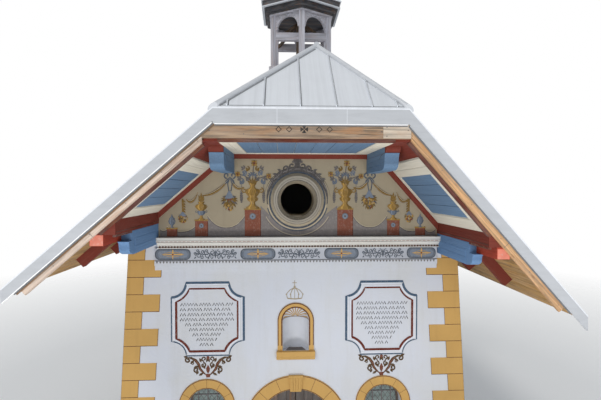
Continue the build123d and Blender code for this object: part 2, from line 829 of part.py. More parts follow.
beam_top = tie_beam_bottom + tie_beam_height
with BuildPart() as tie_beams:
    for y0, y1 in (
        (deck_front, deck_front + tie_beam_thickness),
        (deck_rear - tie_beam_thickness, deck_rear),
    ):
        with BuildSketch(upright(y0)):
            Polygon(
                (tie_beam_left, tie_beam_bottom),
                (tie_beam_right, tie_beam_bottom),
                (tie_beam_right, beam_top),
                (tie_beam_left, beam_top),
                align=None,
            )
        extrude(amount=y0 - y1)
    split(bisect_by=slope_plane(LEFT, deck_under), keep=Keep.BOTTOM)
    split(bisect_by=slope_plane(RIGHT, deck_under), keep=Keep.BOTTOM)
save("tie_beams", tie_beams.part)

# Upper purlins: they run from end to end over both walls, with a casing under the front rafters
# and a rounded cushion over each upper console
soffit_front = plate_front
cushion_length = upper_console_length + cushion_overrun
with BuildPart() as upper_purlins:
    for side in (LEFT, RIGHT):
        with BuildSketch(upright(plate_front)):
            Polygon(*purlin_section(side), align=None)
        extrude(amount=plate_front - plate_rear)
        casing_under = rafter_under + casing_thickness
        casing_inner = slope_x(side, soffit_z, casing_under)
        add(layer(side, purlin_top, casing_under, casing_inner, casing_outer[side], soffit_front, front_y))
        with BuildSketch(Plane.YZ.offset(purlin_x[side])):
            with BuildLine():
                Polyline(
                    (front_y - cushion_length, soffit_z),
                    (front_y, soffit_z),
                    (front_y, soffit_z - cushion_height),
                    (front_y - cushion_length + cushion_height, soffit_z - cushion_height),
                )
                RadiusArc(
                    (front_y - cushion_length + cushion_height, soffit_z - cushion_height),
                    (front_y - cushion_length, soffit_z),
                    cushion_height,
                )
            make_face()
        extrude(amount=side * upper_console_width)
    split(bisect_by=slope_plane(LEFT, purlin_top), keep=Keep.BOTTOM)
    split(bisect_by=slope_plane(RIGHT, purlin_top), keep=Keep.BOTTOM)
    add(tie_beams.part, mode=Mode.SUBTRACT)
save("upper_purlins", upper_purlins.part)

# Upper consoles: boxed brackets under the cushions
with BuildPart() as upper_consoles:
    for side in (LEFT, RIGHT):
        add(
            bracket(
                purlin_x[side],
                side * upper_console_width,
                upper_console_length,
                soffit_z - cushion_height,
                upper_console_height,
            )
        )
save("upper_consoles", upper_consoles.part)

# Boarded soffit of the front overhang: a level part between the purlins and two that follow the slopes
with BuildPart() as soffit_flat:
    with BuildSketch(Plane.XY.offset(soffit_z)):
        with Locations(((purlin_x[LEFT] + purlin_x[RIGHT]) / 2, (soffit_front + front_y) / 2)):
            Rectangle(purlin_x[RIGHT] - purlin_x[LEFT], front_y - soffit_front)
    extrude(amount=soffit_thickness)
    with BuildSketch(Plane.XY.offset(soffit_z)):
        with Locations(
            (
                (purlin_x[LEFT] + purlin_x[RIGHT]) / 2,
                (deck_front + tie_beam_thickness + front_y - panel_rear_margin) / 2,
            )
        ):
            Rectangle(
                purlin_x[RIGHT] - purlin_x[LEFT] - 2 * flat_panel_margin,
                front_y - panel_rear_margin - deck_front - tie_beam_thickness,
            )
    extrude(amount=panel_recess, mode=Mode.SUBTRACT)
save("soffit_flat", soffit_flat.part)

for side in (LEFT, RIGHT):
    with BuildPart() as soffit:
        add(
            layer(
                side, rafter_under, soffit_under, casing_outer[side], soffit_outer[side], soffit_front, front_y
            )
        )
        add(
            layer(
                side,
                soffit_under - panel_recess,
                soffit_under,
                casing_outer[side] + side * panel_inner_margin,
                soffit_outer[side] - side * panel_outer_margin,
                soffit_front + panel_front_margin,
                front_y - panel_rear_margin,
            ),
            mode=Mode.SUBTRACT,
        )
    save(f"soffit_{side_name[side]}", soffit.part)

# Rake mouldings: boards on the wall under the soffits, and bands along their outer edges
with BuildPart() as rake_mouldings:
    for side in (LEFT, RIGHT):
        rake_inner = purlin_x[side] + side * upper_console_width
        rake_under = soffit_under + rake_height
        add(
            layer(side, soffit_under, rake_under, rake_inner, soffit_outer[side], front_y - rake_proud, front_y)
        )
        band_outer = soffit_outer[side] + side * band_thickness
        with BuildSketch(upright(soffit_front)):
            Polygon(
                (soffit_outer[side], band_bottom[side]),
                (soffit_outer[side], slope_z(side, soffit_outer[side], rafter_under)),
                (band_outer, slope_z(side, band_outer, rafter_under)),
                (band_outer, band_bottom[side]),
                align=None,
            )
        extrude(amount=soffit_front - front_y)
    with BuildSketch(upright(front_y)):
        with Locations(((purlin_x[LEFT] + purlin_x[RIGHT]) / 2, soffit_z)):
            Rectangle(purlin_x[RIGHT] - purlin_x[LEFT], rake_height, align=(Align.CENTER, Align.MAX))
    extrude(amount=rake_proud)
    add(upper_purlins.part, mode=Mode.SUBTRACT)
    add(upper_consoles.part, mode=Mode.SUBTRACT)
save("rake_mouldings", rake_mouldings.part)

# Lower consoles: brackets under the ends of the wall plates, with cheeks up to the bands
for side in (LEFT, RIGHT):
    plate_bottom = plate_top[side] - plate_height
    console_bottom = band_bottom[side] - console_height
    with BuildPart() as lower_console:
        add(
            bracket(
                console_inner[side],
                side * console_width,
                console_length,
                plate_bottom,
                plate_bottom - console_bottom,
            )
        )
        with BuildSketch(Plane.YZ.offset(console_inner[side])):
            Polygon(
                (front_y, plate_bottom),
                (front_y, band_bottom[side]),
                (front_y - console_cheek_length, band_bottom[side]),
                (front_y - console_cheek_length, plate_bottom),
                align=None,
            )
        extrude(amount=side * console_width)
        with BuildSketch(upright(front_y - console_length)):
            with Locations((plate_x[side], plate_top[side] - plate_height / 2)):
                Rectangle(plate_width, plate_height)
        extrude(amount=-console_length, mode=Mode.SUBTRACT)
    save(f"lower_console_{side_name[side]}", lower_console.part)

# Ridge cap: a round roll along the ridge, interrupted by the belfry, and one along each hip
belfry_y = front_y + belfry_setback
base_top = ridge_z + belfry_base_rise
base_radius = belfry_radius + belfry_base_margin


def ridge_bar(radius):
    """The round bar along the ridge, past both apexes and without the belfry's curb."""
    with BuildPart() as bar:
        with BuildSketch(upright(front_apex - roll_overrun)):
            with Locations((ridge_x, ridge_z)):
                Circle(radius)
        extrude(amount=front_apex - rear_apex - 2 * roll_overrun)
        add(roof_body.part, mode=Mode.SUBTRACT)
        with BuildSketch(Plane.XY.offset(ridge_z - 2 * radius)):
            with Locations((belfry_x, belfry_y)):
                RegularPolygon(base_radius, 6, rotation=30)
        extrude(amount=4 * radius, mode=Mode.SUBTRACT)
    return bar.part


def hip_bar(end, side):
    """The round bar along a hip, cut at the verge, under the ridge bar and at its neighbour."""
    apex, verge = (front_apex, front_verge) if end == FRONT else (rear_apex, rear_verge)
    corner = Vector(hip_corner[side], verge, hip_eave_z)
    run = Vector(ridge_x, apex, ridge_z) - corner
    with BuildPart() as bar:
        with BuildSketch(Plane(origin=corner - run.normalized() * roll_overrun, z_dir=run)):
            Circle(hip_roll_radius)
        extrude(amount=run.length + roll_overrun)
        split(bisect_by=upright(verge), keep=Keep.BOTTOM if end == FRONT else Keep.TOP)
        split(
            bisect_by=Plane.YZ.offset(ridge_x + side * roll_clearance),
            keep=Keep.TOP if side == RIGHT else Keep.BOTTOM,
        )
        add(roof_body.part, mode=Mode.SUBTRACT)
        add(ridge_bar(ridge_roll_radius + roll_clearance), mode=Mode.SUBTRACT)
    return bar.part


with BuildPart() as ridge_cap:
    add(ridge_bar(ridge_roll_radius))
    for end in (FRONT, REAR):
        for side in (LEFT, RIGHT):
            add(hip_bar(end, side))
save("ridge_cap", ridge_cap.part)

# Belfry base: a boarded hexagonal curb that sits astride the ridge
with BuildPart() as belfry_base:
    with BuildSketch(Plane.XY.offset(slope_z(RIGHT, belfry_x + 2 * base_radius))):
        with Locations((belfry_x, belfry_y)):
            RegularPolygon(base_radius, 6, rotation=30)
    extrude(amount=base_top - slope_z(RIGHT, belfry_x + 2 * base_radius))
    with BuildSketch(upright(belfry_y - base_radius)):
        Polygon(
            (ridge_x, ridge_z),
            (left_eave_x, slope_z(LEFT, left_eave_x)),
            (right_eave_x, slope_z(RIGHT, right_eave_x)),
            align=None,
        )
    extrude(amount=-2 * base_radius, mode=Mode.SUBTRACT)
save("belfry_base", belfry_base.part)

# Belfry posts, one at each corner
with BuildPart() as belfry_posts:
    with BuildSketch(Plane.XY.offset(base_top)):
        with Locations((belfry_x, belfry_y)):
            with PolarLocations(belfry_radius - post_width / 2, 6, start_angle=-90):
                Rectangle(post_width, post_width)
    extrude(amount=arch_top - base_top)
save("belfry_posts", belfry_posts.part)

# Belfry arches: boards with a flat arch between the posts
apothem = (belfry_radius - post_width / 2) * cos(radians(30))
bay = belfry_radius - post_width / 2
with BuildPart() as belfry_arches:
    for number in range(6):
        angle = radians(-60 + 60 * number)
        side_plane = Plane(
            origin=(belfry_x + apothem * cos(angle), belfry_y + apothem * sin(angle), arch_bottom),
            x_dir=(-sin(angle), cos(angle), 0),
            z_dir=(cos(angle), sin(angle), 0),
        )
        with BuildSketch(side_plane):
            Rectangle(bay, arch_top - arch_bottom, align=(Align.CENTER, Align.MIN))
            Circle(bay / 2 - post_width / 2 - arch_end, mode=Mode.SUBTRACT)
        extrude(amount=arch_board / 2, both=True)
    add(belfry_posts.part, mode=Mode.SUBTRACT)
save("belfry_arches", belfry_arches.part)

# Belfry beams: chords between the side posts and along both flanks
side_post_x = (belfry_radius - post_width / 2) * cos(radians(30))
side_post_y = (belfry_radius - post_width / 2) * sin(radians(30))
with BuildPart() as belfry_beams:
    for end in (FRONT, REAR):
        with BuildSketch(Plane.XY.offset(belfry_beam_bottom)):
            with Locations((belfry_x, belfry_y + end * side_post_y)):
                Rectangle(2 * side_post_x, belfry_beam_width)
        extrude(amount=belfry_beam_height)
    add(belfry_posts.part, mode=Mode.SUBTRACT)
save("belfry_beams", belfry_beams.part)

# Belfry eaves: three hexagonal steps that widen upwards
with BuildPart() as belfry_eaves:
    step_bottom = arch_top
    for radius, height in eave_steps:
        with BuildSketch(Plane.XY.offset(step_bottom)):
            with Locations((belfry_x, belfry_y)):
                RegularPolygon(radius, 6, rotation=30)
        extrude(amount=height)
        step_bottom += height
save("belfry_eaves", belfry_eaves.part)

# Belfry roof: a hexagonal spire that flares at its foot
spire_bottom = arch_top + sum(height for radius, height in eave_steps)
with BuildPart() as belfry_roof:
    for lower, upper in zip(spire_sections, spire_sections[1:]):
        rise = upper[1] - lower[1]
        inset = (lower[0] - upper[0]) * cos(radians(30))
        with BuildSketch(Plane.XY.offset(spire_bottom + lower[1])):
            with Locations((belfry_x, belfry_y)):
                RegularPolygon(lower[0], 6, rotation=30)
        extrude(amount=rise, taper=degrees(atan2(inset, rise)))
save("belfry_roof", belfry_roof.part)

# Finial: a stem through a ball of folded gores, and the cross above it
finial_bottom = spire_bottom + spire_sections[-1][1]
finial_middle = finial_bottom + finial_height / 2
gore_radius = finial_ball / cos(radians(180 / finial_gores))
half_band = radians(finial_band_angle / 2)
with BuildPart() as finial:
    with BuildSketch(Plane.XY.offset(finial_middle)):
        with Locations((belfry_x, belfry_y)):
            RegularPolygon(gore_radius * cos(half_band), finial_gores)
    extrude(amount=finial_ball * sin(half_band))
    for number in range(finial_bands):
        low = half_band + number * 2 * half_band
        high = low + 2 * half_band
        rise = finial_ball * (sin(high) - sin(low))
        inset = finial_ball * (cos(low) - cos(high))
        with BuildSketch(Plane.XY.offset(finial_middle + finial_ball * sin(low))):
            with Locations((belfry_x, belfry_y)):
                RegularPolygon(gore_radius * cos(low), finial_gores)
        extrude(amount=rise, taper=degrees(atan2(inset, rise)))
    mirror(about=Plane.XY.offset(finial_middle))
    with BuildSketch(Plane.XY.offset(finial_bottom)):
        with Locations((belfry_x, belfry_y)):
            RegularPolygon(finial_stem, finial_gores)
    extrude(amount=finial_height)
save("finial", finial.part)

with BuildPart() as cross:
    with BuildSketch(upright(belfry_y + cross_bar / 2)):
        with Locations((belfry_x, finial_bottom + finial_height + cross_height / 2)):
            Rectangle(cross_bar, cross_height)
        with Locations((belfry_x, finial_bottom + finial_height + cross_rise)):
            Rectangle(cross_width, cross_bar)
    extrude(amount=cross_bar)
save("cross", cross.part)
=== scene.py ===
"""Looks of the small chapel: render, paint, boards, ironwork and sheet metal over its fixed frame."""

import random
from math import cos, hypot, pi, radians, sin, tan

import bmesh
import bpy
from bpy.props import FloatProperty, FloatVectorProperty, IntProperty, PointerProperty
from mathutils import Euler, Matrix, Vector


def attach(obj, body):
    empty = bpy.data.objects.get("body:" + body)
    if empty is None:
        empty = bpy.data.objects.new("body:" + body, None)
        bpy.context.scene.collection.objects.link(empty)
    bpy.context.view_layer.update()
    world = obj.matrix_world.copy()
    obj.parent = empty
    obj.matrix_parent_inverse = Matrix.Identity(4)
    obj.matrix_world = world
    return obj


bl_info = {
    "name": "Small chapel looks",
    "version": (1, 0, 0),
    "blender": (4, 5, 0),
    "location": "3D View > Sidebar > Chapel",
    "description": "Adds the painted render, boarding, roof seams and belfry of a small chapel",
    "category": "Object",
}

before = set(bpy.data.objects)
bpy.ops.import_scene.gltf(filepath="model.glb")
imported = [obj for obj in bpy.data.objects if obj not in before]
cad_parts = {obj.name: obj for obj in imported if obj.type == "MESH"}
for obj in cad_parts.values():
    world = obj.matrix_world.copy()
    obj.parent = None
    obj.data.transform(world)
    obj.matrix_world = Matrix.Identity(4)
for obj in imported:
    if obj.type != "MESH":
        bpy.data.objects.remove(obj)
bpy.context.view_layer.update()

LEFT, RIGHT = SIDES = (-1, 1)
FRONT, REAR = ENDS = (-1, 1)
NAME = {LEFT: "left", RIGHT: "right"}

# Places of the frame, in metres
front_y, rear_y = -4.0, 4.0
wall_top_z, wall_batter, half_width = 4.47, 0.06, 3.0
ridge_x, ridge_z = 0.32, 8.27
pitch = {LEFT: radians(41.0), RIGHT: radians(48.3)}
hip_pitch, hip_eave_z = radians(44.0), 6.99
verge = {FRONT: -5.93, REAR: 4.6}
apex = {end: y - end * (ridge_z - hip_eave_z) / tan(hip_pitch) for end, y in verge.items()}
eave_x = {LEFT: -3.88, RIGHT: 3.98}
barge_foot_x = {LEFT: -3.72, RIGHT: 3.74}
metal, deck, rafter = 0.015, 0.040, 0.175
rafter_under = metal + deck + rafter
soffit_under = rafter_under + 0.04
soffit_z = 6.545
purlin_x = {LEFT: -1.1, RIGHT: 1.29}
casing_outer = {LEFT: -1.485, RIGHT: 1.675}
panel_x = {LEFT: (-1.68, -2.285), RIGHT: (1.87, 2.445)}
level_panel_x = (-0.863, 1.053)
soffit_outer = {LEFT: -2.44, RIGHT: 2.60}
plate_end = {LEFT: (-2.69, 5.3487), RIGHT: (2.81, 5.1295)}
band_bottom = {LEFT: 5.306, RIGHT: 5.105}
beam_bottom, beam_top, beam_y = 6.585, 6.79, -5.905
beam_end = {LEFT: -1.3, RIGHT: 1.495}
belfry_x, belfry_y, belfry_base_top = 0.142, -2.7, 8.38
door_spring, window_spring, niche_spring = 1.56, 1.97, 3.52
window_x, window_sill, glass_depth = 1.61, 1.0, 0.21
oculus = (0.03, 5.72)
quoin_relief, surround_relief = 0.003, 0.018


def outer_x(z):
    """Half width of the leaning outer faces at the height z."""
    return half_width + wall_batter * (wall_top_z - z)


def slope_z(side, x, depth=0.0):
    """Height at x of the layer that lies depth under a slope."""
    return ridge_z - tan(pitch[side]) * abs(x - ridge_x) - depth / cos(pitch[side])


def slope_run(side, x, depth=0.0):
    """Distance down the slope from the ridge to x, for a layer at a depth."""
    return (side * (x - ridge_x) + depth * sin(pitch[side])) / cos(pitch[side])


def upright(y, facing=FRONT):
    """Points of an upright face across the chapel: across, up and out."""
    return lambda u, v, w: Vector((u, y + facing * w, v))


def cheek(x, facing):
    """Points of an upright face along the chapel: along, up and out."""
    return lambda u, v, w: Vector((x + facing * w, u, v))


def on_level(z, facing=1):
    """Points of a level face: across, along and out, up or down."""
    return lambda u, v, w: Vector((u, v, z + facing * w))


def on_flank(side):
    """Points of a leaning side wall: along, up and out."""
    return lambda u, v, w: Vector((side * (outer_x(v) + w), u, v))


def on_slope(side, depth=0.0):
    """Points of a slope or of a layer under it: down the slope, along the ridge and out."""
    c, s = cos(pitch[side]), sin(pitch[side])
    return lambda u, v, w: Vector(
        (ridge_x + side * (u * c - (depth - w) * s), v, ridge_z - u * s - (depth - w) * c)
    )


def on_verge(side, y, facing=FRONT):
    """Points of an upright face under a sloping edge: down the slope, into it and out."""
    return lambda u, v, w: on_slope(side)(u, y + facing * w, -v)


def on_hip(end, depth=0.0):
    """Points of a hip or of a layer under it: across, down the hip and out."""
    c, s = cos(hip_pitch), sin(hip_pitch)
    return lambda u, v, w: Vector(
        (u, apex[end] + end * (v * c - (depth - w) * s), ridge_z - v * s - (depth - w) * c)
    )


on_facade, on_rear, on_beam = upright(front_y), upright(rear_y, REAR), upright(beam_y)


def srgb(red, green, blue):
    """A colour given as it is seen, from 0 to 255, as Blender stores it."""
    values = [part / 255.0 for part in (red, green, blue)]
    return tuple(v / 12.92 if v <= 0.04045 else ((v + 0.055) / 1.055) ** 2.4 for v in values)


def colour_property(name, red, green, blue):
    """A colour that a user may change."""
    return FloatVectorProperty(
        name=name, description=f"Colour of the {name.lower()}", subtype="COLOR", size=3, min=0.0, max=1.0,
        default=srgb(red, green, blue),
    )


def length_property(name, description, default, low, high):
    """A length that a user may change."""
    return FloatProperty(name=name, description=description, default=default, min=low, max=high, unit="LENGTH")


class ChapelColours(bpy.types.PropertyGroup):
    """Colours of the chapel's finishes"""

    render: colour_property("Lime render", 202, 205, 213)
    ochre: colour_property("Ochre paint", 196, 156, 92)
    moulding: colour_property("Entablature paint", 216, 214, 208)
    gable: colour_property("Painted gable ground", 165, 152, 129)
    slate: colour_property("Slate blue paint", 112, 120, 132)
    gold: colour_property("Gold paint", 146, 114, 58)
    brick: colour_property("Brick paint", 126, 74, 57)
    stone: colour_property("Stone grey paint", 124, 117, 114)
    red: colour_property("Red timber", 120, 48, 34)
    blue: colour_property("Blue boards", 101, 130, 160)
    cream: colour_property("Cream boards", 232, 225, 208)
    beam: colour_property("Weathered beam", 170, 143, 116)
    barge: colour_property("Barge boards", 214, 168, 120)
    sarking: colour_property("Roof boards", 176, 138, 82)
    grey: colour_property("Grey belfry timber", 206, 205, 214)
    door: colour_property("Door boards", 92, 84, 80)
    sheet: colour_property("Roof metal", 229, 232, 237)
    gilt: colour_property("Gilt", 212, 172, 86)


class ChapelSizes(bpy.types.PropertyGroup):
    """Sizes of the chapel's courses, boards and seams"""

    course: length_property("Quoin course", "Height of one painted quoin", 0.31, 0.1, 0.6)
    seam_spacing: length_property("Roof seams", "Distance between standing seams", 0.48, 0.2, 1.0)
    seam_height: length_property("Seam height", "Height of a standing seam", 0.024, 0.005, 0.06)
    door_board: length_property("Door board", "Width of a door board", 0.165, 0.05, 0.4)
    sarking_board: length_property("Roof board", "Width of a roof board", 0.16, 0.05, 0.4)
    paint: length_property("Paint relief", "Thickness of a painted layer", 0.0012, 0.0005, 0.005)
    soffit_boards: IntProperty(
        name="Soffit boards", description="Blue boards across the level soffit", default=7, min=2, max=20
    )


def colours():
    """The colours in use."""
    return bpy.context.scene.chapel_colours


def sizes():
    """The sizes in use."""
    return bpy.context.scene.chapel_sizes


# Finishes


class Finish:
    """A material and the nodes that make it."""

    def __init__(self, name, roughness=0.8, metallic=0.0):
        self.material = bpy.data.materials.new(name)
        self.material.use_nodes = True
        self.tree = self.material.node_tree
        self.shader = self.tree.nodes["Principled BSDF"]
        for key, value in (("Metallic", metallic), ("Roughness", roughness), ("Specular IOR Level", 0.35)):
            self.shader.inputs[key].default_value = value
        self.place = self.node("ShaderNodeTexCoord").outputs["Object"]

    def node(self, kind, inputs=(), **settings):
        """A node with its settings, and its inputs given as values or sockets."""
        made = self.tree.nodes.new(kind)
        for key, value in settings.items():
            setattr(made, key, value)
        for key, value in dict(inputs).items():
            if isinstance(value, bpy.types.NodeSocket):
                self.tree.links.new(value, made.inputs[key])
            else:
                made.inputs[key].default_value = value
        return made

    def math(self, operation, *values):
        """The result of one sum."""
        return self.node("ShaderNodeMath", dict(enumerate(values)), operation=operation).outputs[0]

    def times(self, first, second):
        """The product of two values."""
        return self.math("MULTIPLY", first, second)

    def island(self):
        """A random value for each board or stone of a piece."""
        return self.node("ShaderNodeNewGeometry").outputs["Random Per Island"]

    def spread(self, size, turn=(0, 0, 0), vary=False):
        """The surface's own coordinates, turned to the grain and divided by a pattern's size."""
        inputs = {"Vector": self.place, "Rotation": turn, "Scale": size}
        mapped = self.node("ShaderNodeMapping", inputs, vector_type="TEXTURE").outputs[0]
        if not vary:
            return mapped
        inputs = {0: mapped, 1: self.times(self.island(), 47.0)}
        return self.node("ShaderNodeVectorMath", inputs, operation="ADD").outputs[0]

    def noise(self, size, detail=4.0, rough=0.6, twist=0.0, turn=(0, 0, 0), vary=False):
        """Soft random mottling from 0 to 1, about half on average."""
        place = self.spread(size if isinstance(size, tuple) else (size, size, size), turn, vary)
        inputs = {"Vector": place, "Scale": 1.0, "Detail": detail, "Roughness": rough, "Distortion": twist}
        return self.node("ShaderNodeTexNoise", inputs).outputs[0]

    def fit(self, value, low, high, to_low=0.0, to_high=1.0):
        """A value stretched from one range to another and held inside it."""
        return self.node("ShaderNodeMapRange", {0: value, 1: low, 2: high, 3: to_low, 4: to_high}).outputs[0]

    def mix(self, factor, first, second):
        """Two colours mixed."""
        inputs = {0: factor}
        for key, value in ((6, first), (7, second)):
            inputs[key] = value if isinstance(value, bpy.types.NodeSocket) else (*value[:3], 1.0)
        return self.node("ShaderNodeMix", inputs, data_type="RGBA").outputs[2]

    def finish(self, base, bump=None, distance=0.002, strength=0.5, roughness=None):
        """Connect the colour, the relief and the roughness."""
        self.tree.links.new(base, self.shader.inputs["Base Color"])
        if bump is not None:
            relief = self.node("ShaderNodeBump", {"Strength": strength, "Distance": distance, "Height": bump})
            self.tree.links.new(relief.outputs[0], self.shader.inputs["Normal"])
        if roughness is not None:
            self.tree.links.new(roughness, self.shader.inputs["Roughness"])
        return self.material


def scaled(tone, factor):
    """A colour made darker or lighter."""
    return tuple(min(1.0, part * factor) for part in tone[:3])


def blended(first, second, share):
    """A colour between two."""
    return tuple(a + (b - a) * share for a, b in zip(first[:3], second[:3]))


def make_render(name, tone, stain, grime=0.35):
    """Lime render: trowelled, faintly mottled and streaked, with a splash zone above the ground."""
    f = Finish(name, 0.92)
    cloud = f.fit(f.noise((0.9, 0.9, 1.3), 5.0), 0.42, 0.75)
    streak = f.fit(f.noise((0.12, 0.12, 1.6), 4.0, 0.65), 0.52, 0.8)
    fine = f.noise(0.02, 6.0, 0.7)
    trowel = f.noise((0.22, 0.22, 0.12), 3.0, 0.5, 0.6)
    base = f.mix(f.times(cloud, 0.5), tone, stain)
    base = f.mix(f.times(streak, 0.22), base, scaled(stain, 0.8))
    height = f.node("ShaderNodeSeparateXYZ", {0: f.place}).outputs[2]
    ground = f.fit(height, 0.0, 0.55, 1.0, 0.0)
    splash = f.times(ground, f.fit(f.noise((0.25, 0.25, 0.3), 5.0), 0.3, 0.7))
    base = f.mix(f.times(splash, grime), base, scaled(stain, 0.55))
    return f.finish(base, f.math("ADD", f.times(trowel, 2.2), fine), 0.004, 0.45)


def make_paint(name, tone, wear=0.3):
    """Old limewash paint: uneven, rubbed thin in places, showing the ground."""
    f = Finish(name, 0.9)
    cloud = f.fit(f.noise(0.10, 5.0, 0.65), 0.35, 0.7)
    rub = f.fit(f.noise((0.03, 0.03, 0.045), 6.0, 0.75), 0.52, 0.7)
    base = f.mix(f.times(cloud, 0.5), scaled(tone, 1.12), scaled(tone, 0.78))
    base = f.mix(f.times(rub, wear), base, blended(tone, (0.62, 0.58, 0.50), 0.75))
    return f.finish(base, f.noise(0.012, 5.0, 0.7), 0.0015, 0.3)


GRAINS = {
    "across": (0, 0, 0),
    "along": (0, 0, pi / 2),
    "upright": (0, -pi / 2, 0),
    "left": (0, -pitch[LEFT], 0),
    "right": (0, pitch[RIGHT], 0),
}


def make_timber(name, tone, dark, light, grain, knots=0.0, fibre=1.0, paint=False):
    """Wood along one direction: bare and weathered, or painted with the grain showing through."""
    f = Finish(name, 0.72 if paint else 0.82)
    turn = GRAINS[grain]
    wood = lambda size, detail, rough, twist: f.noise(size, detail, rough, twist, turn, True)
    rings = wood((0.9, 0.020, 0.020), 4.0, 0.6, 0.25)
    fibres = wood((0.35, 0.004, 0.004), 3.0, 0.6, 0.0)
    patch = f.fit(wood((0.6, 0.14, 0.14), 4.0, 0.6, 0.4), 0.4, 0.72)
    lines = f.fit(rings, 0.38, 0.62)
    if paint:
        base = f.mix(f.times(lines, 0.28), tone, dark)
        worn = f.times(f.fit(fibres, 0.5, 0.72), f.fit(patch, 0.2, 1.0))
        base = f.mix(f.times(worn, 0.45), base, light)
    else:
        bands = f.fit(wood((1.3, 0.036, 0.036), 6.0, 0.7, 0.6), 0.44, 0.58)
        base = f.mix(f.times(lines, 0.8), light, tone)
        base = f.mix(f.times(bands, 0.75 * fibre), base, blended(dark, (0.15, 0.12, 0.095), 0.45))
        base = f.mix(f.times(f.fit(fibres, 0.46, 0.66), 0.5 * fibre), base, dark)
        stain = f.fit(wood((0.5, 0.07, 0.07), 5.0, 0.65, 0.8), 0.50, 0.64)
        base = f.mix(f.times(stain, 0.55 * fibre), base, blended(tone, (0.42, 0.17, 0.05), 0.5))
        base = f.mix(f.times(patch, 0.3), base, blended(light, (0.60, 0.58, 0.55), 0.5))
    base = f.mix(f.fit(f.island(), 0.0, 1.0, 0.0, 0.22), base, dark)
    if knots:
        place = f.spread((0.34, 0.10, 0.10), turn, True)
        cells = f.node("ShaderNodeTexVoronoi", {"Vector": place, "Scale": 1.0}).outputs[0]
        eye = f.fit(cells, 0.07, 0.17, 1.0, 0.0)
        base = f.mix(f.times(eye, knots), base, scaled(blended(tone, (0.25, 0.09, 0.03), 0.6), 0.75))
    relief = f.math("ADD", f.times(lines, 1.4), fibres)
    return f.finish(base, relief, 0.0022 if paint else 0.0035, 0.5, f.fit(fibres, 0.3, 0.7, 0.6, 0.85))


def make_sheet(name, tone, streaks, joints=()):
    """Sheet metal: dull, faintly streaked down the fall, slightly uneven, with pale joints across."""
    f = Finish(name, 0.5, 0.1)
    streak = f.fit(f.noise(streaks, 4.0, 0.6), 0.42, 0.72)
    cloud = f.fit(f.noise(0.45, 5.0, 0.6), 0.35, 0.7)
    base = f.mix(f.times(streak, 0.35), tone, scaled(tone, 0.74))
    base = f.mix(f.times(cloud, 0.3), base, scaled(tone, 1.14))
    across = f.node("ShaderNodeSeparateXYZ", {0: f.place}).outputs[0]
    for joint in joints:
        gap = f.math("ABSOLUTE", f.math("SUBTRACT", across, joint))
        base = f.mix(f.fit(gap, 0.003, 0.006, 0.8, 0.0), base, scaled(tone, 1.35))
    return f.finish(base, f.noise(0.35, 2.0, 0.4), 0.006, 0.25, f.fit(cloud, 0.0, 1.0, 0.42, 0.6))


def make_iron(name):
    """Forged iron, nearly black with a trace of rust."""
    f = Finish(name, 0.55, 0.7)
    rust = f.fit(f.noise(0.03, 5.0, 0.7), 0.55, 0.75)
    base = f.mix(f.times(rust, 0.6), (0.035, 0.032, 0.032), (0.14, 0.055, 0.025))
    return f.finish(base, f.noise(0.01), 0.001, 0.5)


def make_glass(name):
    """Old greenish window glass, dark because the nave behind it is dark."""
    f = Finish(name, 0.12)
    f.shader.inputs["Transmission Weight"].default_value = 0.08
    f.shader.inputs["IOR"].default_value = 1.45
    base = f.mix(f.fit(f.noise(0.16, 3.0), 0.35, 0.7), srgb(84, 84, 74), srgb(46, 48, 42))
    return f.finish(base, f.noise(0.08, 2.0), 0.002, 0.3)


def make_paving(name):
    """Worn stone paving."""
    f = Finish(name, 0.8)
    base = f.mix(f.fit(f.noise(0.3, 5.0), 0.35, 0.7), srgb(150, 144, 134), srgb(116, 110, 102))
    base = f.mix(f.fit(f.island(), 0.0, 1.0, 0.0, 0.4), base, srgb(128, 118, 104))
    return f.finish(base, f.noise(0.05, 6.0), 0.004, 0.5)


def make_gilt(name, tone):
    """Leaf gilding, dulled by the weather."""
    f = Finish(name, 0.38, 0.85)
    dull = f.fit(f.noise(0.05, 5.0), 0.4, 0.7)
    return f.finish(f.mix(f.times(dull, 0.6), tone, scaled(tone, 0.55)), f.noise(0.02), 0.001, 0.4)


def timber(name, kind, grain):
    """A timber finish of one kind with its grain in one direction."""
    c = colours()
    # plate is a lighter red than the other red timber: painted sunlight on the wall plates.
    painted = {
        "red": c.red, "blue": c.blue, "cream": c.cream, "plate": srgb(174, 66, 44), "console": srgb(106, 143, 186)
    }
    if kind in painted:
        tone = painted[kind]
        light = blended(tone, (0.55, 0.48, 0.40), 0.35)
        return make_timber(name, tone, scaled(tone, 0.55), light, grain, paint=True)
    # Colour, how much darker and lighter the grain is, strength of the knots and of the fibres
    tone, dark, light, knots, fibre = {
        "dark_red": (scaled(c.red, 0.55), 0.5, 1.3, 0.0, 1.0),
        "deep_blue": (scaled(c.blue, 0.3), 0.5, 1.4, 0.0, 1.0),
        "shade": (scaled(c.barge, 0.3), 0.5, 1.3, 0.0, 1.0),
        "beam": (c.beam, 0.42, 1.35, 0.5, 1.5),
        "splice": (srgb(214, 198, 178), 0.62, 1.2, 0.2, 1.2),
        "barge": (c.barge, 0.6, 1.3, 0.75, 1.5),
        # The left barge board is paler than the right one: painted sunlight.
        "pale_barge": (srgb(224, 202, 184), 0.62, 1.12, 0.25, 1.2),
        "sarking": (c.sarking, 0.5, 1.4, 0.5, 1.0),
        "grey": (c.grey, 0.58, 1.2, 0.2, 1.0),
        # Near black grey-blue: painted shade under the belfry's eaves.
        "dark_grey": (blended(scaled(c.grey, 0.1), scaled(c.blue, 0.2), 0.35), 0.55, 1.4, 0.0, 1.0),
        "brace": (scaled(c.beam, 0.3), 0.5, 1.3, 0.0, 1.0),
        "door": (c.door, 0.45, 1.35, 0.25, 1.0),
    }[kind]
    return make_timber(name, tone, scaled(tone, dark), scaled(tone, light), grain, knots, fibre)


